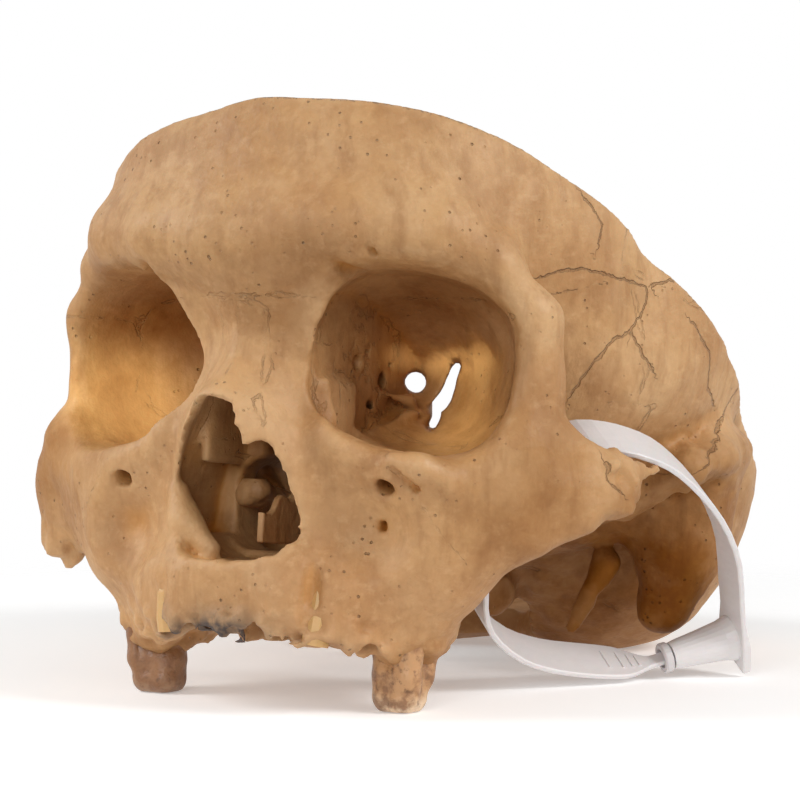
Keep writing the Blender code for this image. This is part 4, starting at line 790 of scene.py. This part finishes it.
def dress(piece, node, material):
    """Puts a fine piece in the place of a plain one."""
    piece.data.materials.append(material)
    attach(piece, "skull")
    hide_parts(node)


class Shader:
    """A material, built node by node."""

    def __init__(self, name):
        self.material = bpy.data.materials.new(name)
        self.material.use_nodes = True
        self.tree = self.material.node_tree
        self.surface = self.tree.nodes["Principled BSDF"]
        self.place = self.node("ShaderNodeTexCoord").outputs["Object"]

    def node(self, kind, inputs=None, **settings):
        made = self.tree.nodes.new(kind)
        for key, value in settings.items():
            setattr(made, key, value)
        for key, value in (inputs or {}).items():
            if isinstance(value, bpy.types.NodeSocket):
                self.tree.links.new(value, made.inputs[key])
            else:
                made.inputs[key].default_value = value
        return made

    def set(self, **values):
        for key, value in values.items():
            socket = self.surface.inputs[key.replace("_", " ")]
            if isinstance(value, bpy.types.NodeSocket):
                self.tree.links.new(value, socket)
            else:
                socket.default_value = value

    def noise(self, size, detail=3, stretch=None):
        """Cloudy values from 0 to 1, with clouds of about this size in metres."""
        place = self.place
        if stretch:
            place = self.node("ShaderNodeMapping", {"Vector": place, "Scale": stretch}).outputs[0]
        inputs = {"Vector": place, "Scale": 1 / size, "Detail": detail, "Roughness": .6}
        return self.node("ShaderNodeTexNoise", inputs).outputs[0]

    def cells(self, size):
        """How far the nearest of many scattered points is."""
        inputs = {"Vector": self.place, "Scale": 1 / size}
        return self.node("ShaderNodeTexVoronoi", inputs).outputs["Distance"]

    def steps(self, value, low, high, start=0, end=1):
        """A value spread from one range to another, and held at its ends."""
        inputs = {"Value": value, "From Min": low, "From Max": high, "To Min": start, "To Max": end}
        return self.node("ShaderNodeMapRange", inputs).outputs[0]

    def sum(self, operation, first, second):
        return self.node("ShaderNodeMath", {0: first, 1: second}, operation=operation).outputs[0]

    def mix(self, factor, first, second, blend="MIX"):
        return self.node("ShaderNodeMix", {0: factor, 6: first, 7: second}, data_type="RGBA",
                         blend_type=blend).outputs[2]

    def value(self, key):
        return self.node("ShaderNodeAttribute", attribute_name=key).outputs["Fac"]

    def over(self, part, tone):
        """Lays a tone over the colour so far."""
        self.colour = self.mix(part, self.colour, rgb(*tone))

    def times(self, first, second):
        return self.sum("MULTIPLY", first, second)

    def bump(self, height, depth):
        return self.node("ShaderNodeBump", {"Height": height, "Distance": depth, "Strength": 1}).outputs[0]


def rgb(red, green, blue):
    return red, green, blue, 1


def bone_material(name, worked=True):
    """Dry waxed bone: tan clouds, painted brown shade in its dents, with pores, scratches and thin sutures.
    """
    made = Shader(name)
    clouds, blots = made.noise(.030, 4), made.noise(.009, 4)
    speckle, grain = made.noise(.0016, 3), made.noise(.004, 3, (1, 1, .22))
    made.colour = made.mix(made.steps(clouds, .38, .62), rgb(*BONE_PALE), rgb(*BONE_TAN))
    made.over(made.steps(blots, .48, .72, 0, .80), BONE_BROWN)
    made.over(made.steps(made.noise(.018, 5), .50, .68, 0, .7), BONE_CREAM)
    dimmer = made.mix(1, made.colour, rgb(*SPECKLE), "MULTIPLY")
    made.colour = made.mix(made.steps(speckle, .35, .70, .10, .55), made.colour, dimmer)
    made.over(made.steps(grain, .50, .72, 0, .6), BONE_BROWN)
    flecks = made.noise(.0022, 4, (1, .35, 1))
    made.over(made.steps(flecks, .54, .74, 0, .35), BONE_CREAM)
    porous = made.steps(made.noise(.014, 3), .50, .62)
    pores = made.times(made.steps(made.cells(.0021), .06, .16, 1, 0), porous)
    made.over(made.times(pores, .4), DIRT)
    heights = made.sum("ADD", made.times(speckle, .35), made.times(grain, .5))
    heights = made.sum("SUBTRACT", heights, made.times(pores, .8))
    if worked:
        close, wide = made.value("close"), made.value("wide")
        # Painted shade: amber darkening where the surface lies deep in dents and hollows
        hollow_shade = made.sum("ADD", made.steps(close, -.04, -.30), made.steps(wide, -.08, -.50))
        made.over(made.steps(hollow_shade, 0, 1.6, 0, .75), SHADE_AMBER)
        made.over(made.steps(close, .10, .40, 0, .5), BONE_CREAM)
        # Painted light: the eye sockets turn bright amber, as if lit from inside
        glow = made.mix(made.steps(blots, .35, .65), rgb(*PAINTED_LIGHT_TONE), rgb(*SHADE_AMBER))
        made.colour = made.mix(made.times(made.value("glow"), .85), made.colour, glow)
        wiggle = made.times(made.sum("SUBTRACT", made.noise(.0028, 4), .5), SUTURE_WIGGLE)
        sway = made.times(made.sum("SUBTRACT", made.noise(.010, 2), .5), SUTURE_SWAY)
        crack = made.sum("ABSOLUTE", made.sum("ADD", made.value("crack"), wiggle), 0)
        crack = made.times(made.steps(crack, SUTURE_LINE, 4 * SUTURE_LINE, 1, 0),
                         made.steps(made.value("crack_reach"), .018, .028, 1, 0))
        made.over(made.times(crack, .35), BONE_DARK)
        heights = made.sum("SUBTRACT", heights, crack)
        line = made.sum("ABSOLUTE", made.sum("ADD", made.value("suture"), made.sum("ADD", wiggle, sway)), 0)
        line = made.times(made.steps(line, SUTURE_LINE, 3 * SUTURE_LINE, 1, 0),
                        made.steps(made.noise(.006, 2), .42, .62, .08, .8))
        made.over(made.times(line, .28), DIRT)
        heights = made.sum("SUBTRACT", heights, made.times(line, .6))
        # Brown patches: partly the bone's own tone, partly painted shade under the cheeks, on the base and
        # deep in the nose
        brown = made.times(made.value("brown"), made.steps(made.noise(.012, 4), .30, .60, .70, 1))
        made.colour = made.mix(brown, made.colour, made.mix(1, made.colour, rgb(*UMBER_AND_SHADE), "MULTIPLY"))
        stain = made.times(made.value("stain"), made.steps(made.noise(.0035, 3), .30, .55, .45, 1))
        made.over(stain, STAIN)
        sawn = made.value("sawn")
        holes = made.steps(made.noise(.0011, 2), .50, .60)
        made.over(made.times(sawn, made.times(holes, .6)), DIRT)
        heights = made.sum("SUBTRACT", heights, made.times(sawn, holes))
        # Painted light: the eye sockets also glow by emission, though no lamp is there
        made.set(Emission_Color=rgb(*PAINTED_LIGHT_EMISSION), Emission_Strength=made.steps(made.value("glow"), .4, 1, 0, .26),
                 Specular_IOR_Level=made.steps(brown, 0, 1, .45, .08))
    made.set(Base_Color=made.colour, Roughness=made.steps(blots, .3, .7, .50, .68),
             Normal=made.bump(heights, BONE_BUMP), Subsurface_Weight=.06, Subsurface_Scale=.002)
    return made.material


def tooth_material():
    """A worn tooth: yellow-brown at the root, paler at its crown."""
    made = Shader("tooth")
    across, _, height = made.node("ShaderNodeSeparateXYZ", {0: made.place}).outputs
    clouds = made.noise(.004, 4)
    level = made.sum("ADD", height, made.times(clouds, .006))
    made.colour = made.mix(made.steps(level, .0040, .0070), rgb(*CROWN), rgb(*ROOT))
    made.over(made.steps(made.noise(.0028, 4), .42, .60, 0, .8), ROOT_BROWN_AND_SHADE)
    # Painted shade: the molar on the right side is darkened all over
    made.over(made.steps(across, -.01, .01, .75, 0), ROOT_BROWN_AND_SHADE)
    made.over(made.steps(made.noise(.0014, 3), .60, .70, 0, .6), DIRT)
    made.set(Base_Color=made.colour, Roughness=made.steps(clouds, .3, .7, .28, .50),
             Normal=made.bump(clouds, TOOTH_BUMP), Subsurface_Weight=.08, Subsurface_Scale=.002)
    return made.material


def smooth_material(name, tone):
    """A smooth material with a fine grain and faint scuffs."""
    made = Shader(name)
    scuffs = made.noise(.006, 4, (1, 1, 4))
    colour = made.mix(made.steps(scuffs, .40, .72, 0, .5), rgb(*tone), rgb(*[share * .90 for share in tone]))
    made.set(Base_Color=colour, Roughness=made.steps(scuffs, .3, .7, .36, .50),
             Normal=made.bump(made.noise(SMOOTH_GRAIN, 2), SMOOTH_BUMP),
             Subsurface_Weight=.10, Subsurface_Scale=.001)
    return made.material


# Colours, as shares of full red, green and blue light
BONE_PALE, BONE_TAN, BONE_BROWN = (.56, .325, .142), (.44, .230, .090), (.32, .150, .050)
# The amber tone is painted shade in hollows; the glow tone is painted light in the eye sockets
BONE_CREAM, BONE_DARK, PAINTED_LIGHT_TONE, SHADE_AMBER = (.64, .40, .20), (.20, .085, .026), (.90, .50, .15), (.52, .200, .010)
DIRT, STAIN = (.10, .045, .016), (.045, .030, .025)
# The shine tone is the emitted colour of the painted light in the eye sockets; umber darkens the brown
# patches, which are partly painted shade
SPECKLE, UMBER_AND_SHADE, PAINTED_LIGHT_EMISSION = (.80, .74, .66), (.40, .24, .06), (1, .56, .20)
# The root brown also paints shade over the whole right-hand molar
CROWN, ROOT, ROOT_BROWN_AND_SHADE = (.68, .50, .33), (.46, .25, .11), (.19, .08, .030)
STRAP, COLLAR, CANINE = (.70, .67, .665), (.58, .55, .55), (.54, .32, .12)
SUTURE_WIGGLE, SUTURE_SWAY, SUTURE_LINE = .022, .050, .0008
BONE_BUMP, TOOTH_BUMP, SMOOTH_BUMP, SMOOTH_GRAIN = .00060, .0006, .00006, .0006
STAIN_shares = [
    ((-.01, -.90, -.380), (.09, .08, .045), 1.5), ((-.12, -.90, -.385), (.07, .06, .025), .7),
    ((.20, -.85, -.395), (.07, .06, .02), .35), ((-.15, -.88, -.34), (.02, .05, .03), .5),
    ((0, -.87, -.20), (.05, .05, .02), .3),
]
# Brown patches (centre, reach, strength): partly the bone's own tone, partly painted shade under the cheeks,
# on the base and deep in the nose
BROWN_AND_SHADE_shares = [
    ((-.40, -.56, .28), (.20, .20, .09), .85), ((.22, -.46, .33), (.26, .22, .08), .8),
    ((0, -.62, .02), (.11, .18, .17), 1.0), ((.42, -.10, -.30), (.38, .42, .19), 1.0),
    ((.30, -.66, -.405), (.10, .10, .03), .4), ((-.30, -.66, -.405), (.10, .10, .03), .7),
    ((0, .20, -.38), (.60, .40, .12), .6), ((.14, -.50, .10), (.05, .12, .09), .5),
    ((.62, -.02, .0), (.20, .30, .08), .6), ((.66, -.45, -.10), (.08, .14, .06), .6),
    ((.50, -.72, -.14), (.16, .18, .12), .40), ((-.52, -.70, -.12), (.16, .18, .14), .35),
    ((.14, -.82, .05), (.04, .05, .10), .4), ((.55, .10, -.15), (.30, .40, .12), .5),
    ((.55, -.68, 0), (.12, .14, .12), .3), ((-.58, -.70, 0), (.12, .16, .12), .35),
    ((0, -.92, .36), (.50, .12, .10), .25), ((0, -.60, .82), (.60, .50, .15), .3),
]
# Where light is painted into the eye sockets: (centre, reach, strength)
PAINTED_LIGHT_shares = [
    ((-.44, -.62, .09), (.15, .18, .15), 1.2), ((.19, -.44, .20), (.13, .14, .045), .9),
    ((.34, -.50, .0), (.20, .18, .09), .7), ((.32, -.44, .14), (.12, .12, .15), .6),
    ((-.13, -.55, .02), (.05, .14, .12), .8),
]
# Cracks and sutures of the left side, seen from the side (y, z)
CRACK_shares = [
    [(-.59, .35), (-.51, .375), (-.44, .37), (-.37, .365), (-.31, .362), (-.24, .383)],
    [(-.31, .36), (-.34, .296), (-.36, .265), (-.40, .25), (-.415, .228), (-.43, .19), (-.434, .13)],
    [(.09, .18), (.04, .13), (-.02, .086), (-.07, .052), (-.14, 0)],
    [(-.57, -.01), (-.566, -.043), (-.536, -.064)], [(-.36, .265), (-.33, .22), (-.30, .19)],
    [(-.20, .30), (-.12, .24), (-.10, .17), (-.03, .14)], [(-.50, .52), (-.46, .47), (-.47, .43)],
]
CRACK_SIDE_share = .40
# The side whose faces take the painted light in the sockets
PAINTED_LIGHT_SIDE = np.array((.6, -.8, .5))
SAW_BAND, SAW_EDGE = .0006, .0022

# The bone
POSE = Matrix.Translation((MIDDLE_shares[0] * SKULL_WIDTH, MIDDLE_shares[1] * SKULL_LENGTH, REST_LIFT))
POSE = POSE @ Matrix.Rotation(math.radians(PITCH_DEGREES), 4, "X")
field = skull(GRID_STEP)
weather(field)
x, y, z = field.places()
above = z - saw_height(x, y)
rounded = np.maximum(SAW_EDGE - np.abs(field.values - above), 0) ** 2 / (4 * SAW_EDGE)
field.values = (np.maximum(field.values, above) + rounded).astype(np.float32)
stand(field)
points, faces, normals = surfaced(field)
# How deep each point lies in hollows, near and wide: drives the painted shade in dents and the paler ridges
close = blurred(np.clip(field.values, -CLOSE_REACH, CLOSE_REACH), 2)
wide = blurred(np.clip(field.values, -WIDE_REACH, WIDE_REACH), 7)
values = {"close": sampled(field, close, points) / CLOSE_REACH,
          "wide": sampled(field, wide, points) / WIDE_REACH}
for key, places in (("stain", STAIN_shares), ("brown", BROWN_AND_SHADE_shares), ("glow", PAINTED_LIGHT_shares)):
    parts = [depth * near(*points.T, centre, reach) for centre, reach, depth in places]
    values[key] = np.clip(sum(parts), 0, 1)
# The painted light lies only on faces turned toward one side, as if lit from there
values["glow"] = values["glow"] * np.clip(normals @ PAINTED_LIGHT_SIDE / .3, 0, 1)
values["sawn"] = np.clip(2 - np.abs(points[:, 2] - saw_height(points[:, 0], points[:, 1])) / SAW_BAND, 0, 1)
values["sawn"] = values["sawn"] * np.clip((normals[:, 2] - .78) / .10, 0, 1)
values["crack"], values["crack_reach"] = crack_gaps(points)
gaps = bone_gaps(points)
middles = bone_gaps(points[faces].mean(axis=1))
owner = np.argmin(np.array(list(middles.values())), axis=0)
bone = bone_material("bone")
for number, (name, gap) in enumerate(gaps.items()):
    piece = skin(f"bone_{name}", points, faces[owner == number], normals, values | {"suture": gap})
    dress(piece, name, bone)
plain_bone, tooth = bone_material("plain_bone", worked=False), tooth_material()
for name, small, material, slot in (
        ("molar_left", molar(MOLAR_LEFT_shares, 1, 11), tooth, "tooth"),
        ("molar_right", molar(MOLAR_RIGHT_shares, -1, 23), tooth, "tooth"),
        ("inferior_concha_left", concha(1, 1), plain_bone, "bone"),
        ("inferior_concha_right", concha(-1, 2), plain_bone, "bone"),
        ("vomer", vomer(), plain_bone, "bone")):
    points, faces, normals = surfaced(small)
    dress(skin(f"fine_{name}", points, faces, normals, {}), name, material)

# Pieces carried over from the part
kinds = {"tag_strap": smooth_material("strap_plastic", STRAP),
         "tag_lock": smooth_material("collar_plastic", COLLAR),
         "canine": smooth_material("canine_root", CANINE)}
for carried in [obj for obj in bpy.data.objects if obj.type == "MESH"]:
    for start, material in kinds.items():
        if carried.name.startswith(start):
            carried.data.materials.clear()
            carried.data.materials.append(material)

# Floor, light and camera
FLOOR_TONE, FLOOR_GLOW, FLOOR_RADIUS, FLOOR_FADE = .90, .28, .45, (.12, .28)
SKY, SKY_STRENGTH, LAMP_AIM = (1, .99, .97), .30, (0, 0, .06)
# Name, place, size, power
LAMPS = (("front", (.20, -.85, .30), .35, 2.4), ("right", (.85, -.05, .55), .35, 6.0),
         ("left", (-.55, -.40, .42), .30, 3.0))
CAMERA_TURN_DEGREES, CAMERA_RISE_DEGREES, CAMERA_ROLL_DEGREES = 27.285, -3.169, 2.591
CAMERA_AIM, CAMERA_SHIFT, CAMERA_DISTANCE = (0, -.050, 0), (.01356, .01066), .500
FOCUS_PIXELS, PICTURE_PIXELS, SENSOR = 2407.25, 800, 36

shade = Shader("floor")
far = shade.node("ShaderNodeVectorMath", {0: shade.place}, operation="LENGTH").outputs["Value"]
shade.set(Base_Color=rgb(FLOOR_TONE, FLOOR_TONE, FLOOR_TONE), Roughness=.9, Specular_IOR_Level=.1,
          Emission_Color=rgb(1, 1, 1), Emission_Strength=FLOOR_GLOW,
          Alpha=shade.steps(far, *FLOOR_FADE, 1, 0))
bpy.ops.mesh.primitive_circle_add(vertices=64, radius=FLOOR_RADIUS, fill_type="NGON",
                                  location=(0, 0, -TABLE_MARGIN))
floor = bpy.context.object
floor.name = "floor"
floor.data.materials.append(shade.material)

world = bpy.data.worlds.new("world")
world.use_nodes = True
bpy.context.scene.world = world
nodes, links = world.node_tree.nodes, world.node_tree.links
soft, white = nodes["Background"], nodes.new("ShaderNodeBackground")
soft.inputs[0].default_value, soft.inputs[1].default_value = rgb(*SKY), SKY_STRENGTH
white.inputs[0].default_value, white.inputs[1].default_value = rgb(1, 1, 1), 1.0
choice, ray = nodes.new("ShaderNodeMixShader"), nodes.new("ShaderNodeLightPath")
seen = ray.outputs["Is Camera Ray"]
for kind in ("Is Glossy Ray", "Is Transmission Ray"):
    either = nodes.new("ShaderNodeMath")
    either.operation = "MAXIMUM"
    links.new(seen, either.inputs[0])
    links.new(ray.outputs[kind], either.inputs[1])
    seen = either.outputs[0]
links.new(seen, choice.inputs[0])
links.new(soft.outputs[0], choice.inputs[1])
links.new(white.outputs[0], choice.inputs[2])
links.new(choice.outputs[0], nodes["World Output"].inputs[0])


def lamp(name, place, size, power):
    """A soft square lamp that faces the skull."""
    light = bpy.data.lights.new(name, "AREA")
    light.energy, light.size = power, size
    made = bpy.data.objects.new(name, light)
    made.location = place
    made.rotation_euler = (Vector(place) - Vector(LAMP_AIM)).to_track_quat("Z", "Y").to_euler()
    bpy.context.scene.collection.objects.link(made)


for entry in LAMPS:
    lamp(*entry)

turn, rise = math.radians(CAMERA_TURN_DEGREES), math.radians(CAMERA_RISE_DEGREES)
roll = math.radians(CAMERA_ROLL_DEGREES)
back = Vector((math.sin(turn) * math.cos(rise), -math.cos(turn) * math.cos(rise), math.sin(rise)))
level = Vector((0, 0, 1)).cross(back).normalized()
over = back.cross(level)
right = level * math.cos(roll) + over * math.sin(roll)
up = over * math.cos(roll) - level * math.sin(roll)
camera = bpy.data.cameras.new("camera")
camera.sensor_width = SENSOR
camera.lens = FOCUS_PIXELS / PICTURE_PIXELS * SENSOR
view = bpy.data.objects.new("camera", camera)
bpy.context.scene.collection.objects.link(view)
axes = Matrix((right, up, back)).transposed().to_4x4()
axes.translation = Vector(CAMERA_AIM) + back * CAMERA_DISTANCE
axes.translation += right * CAMERA_SHIFT[0] + up * CAMERA_SHIFT[1]
view.matrix_world = POSE @ axes
bpy.context.scene.camera = view
bpy.context.scene.view_settings.view_transform = "Standard"
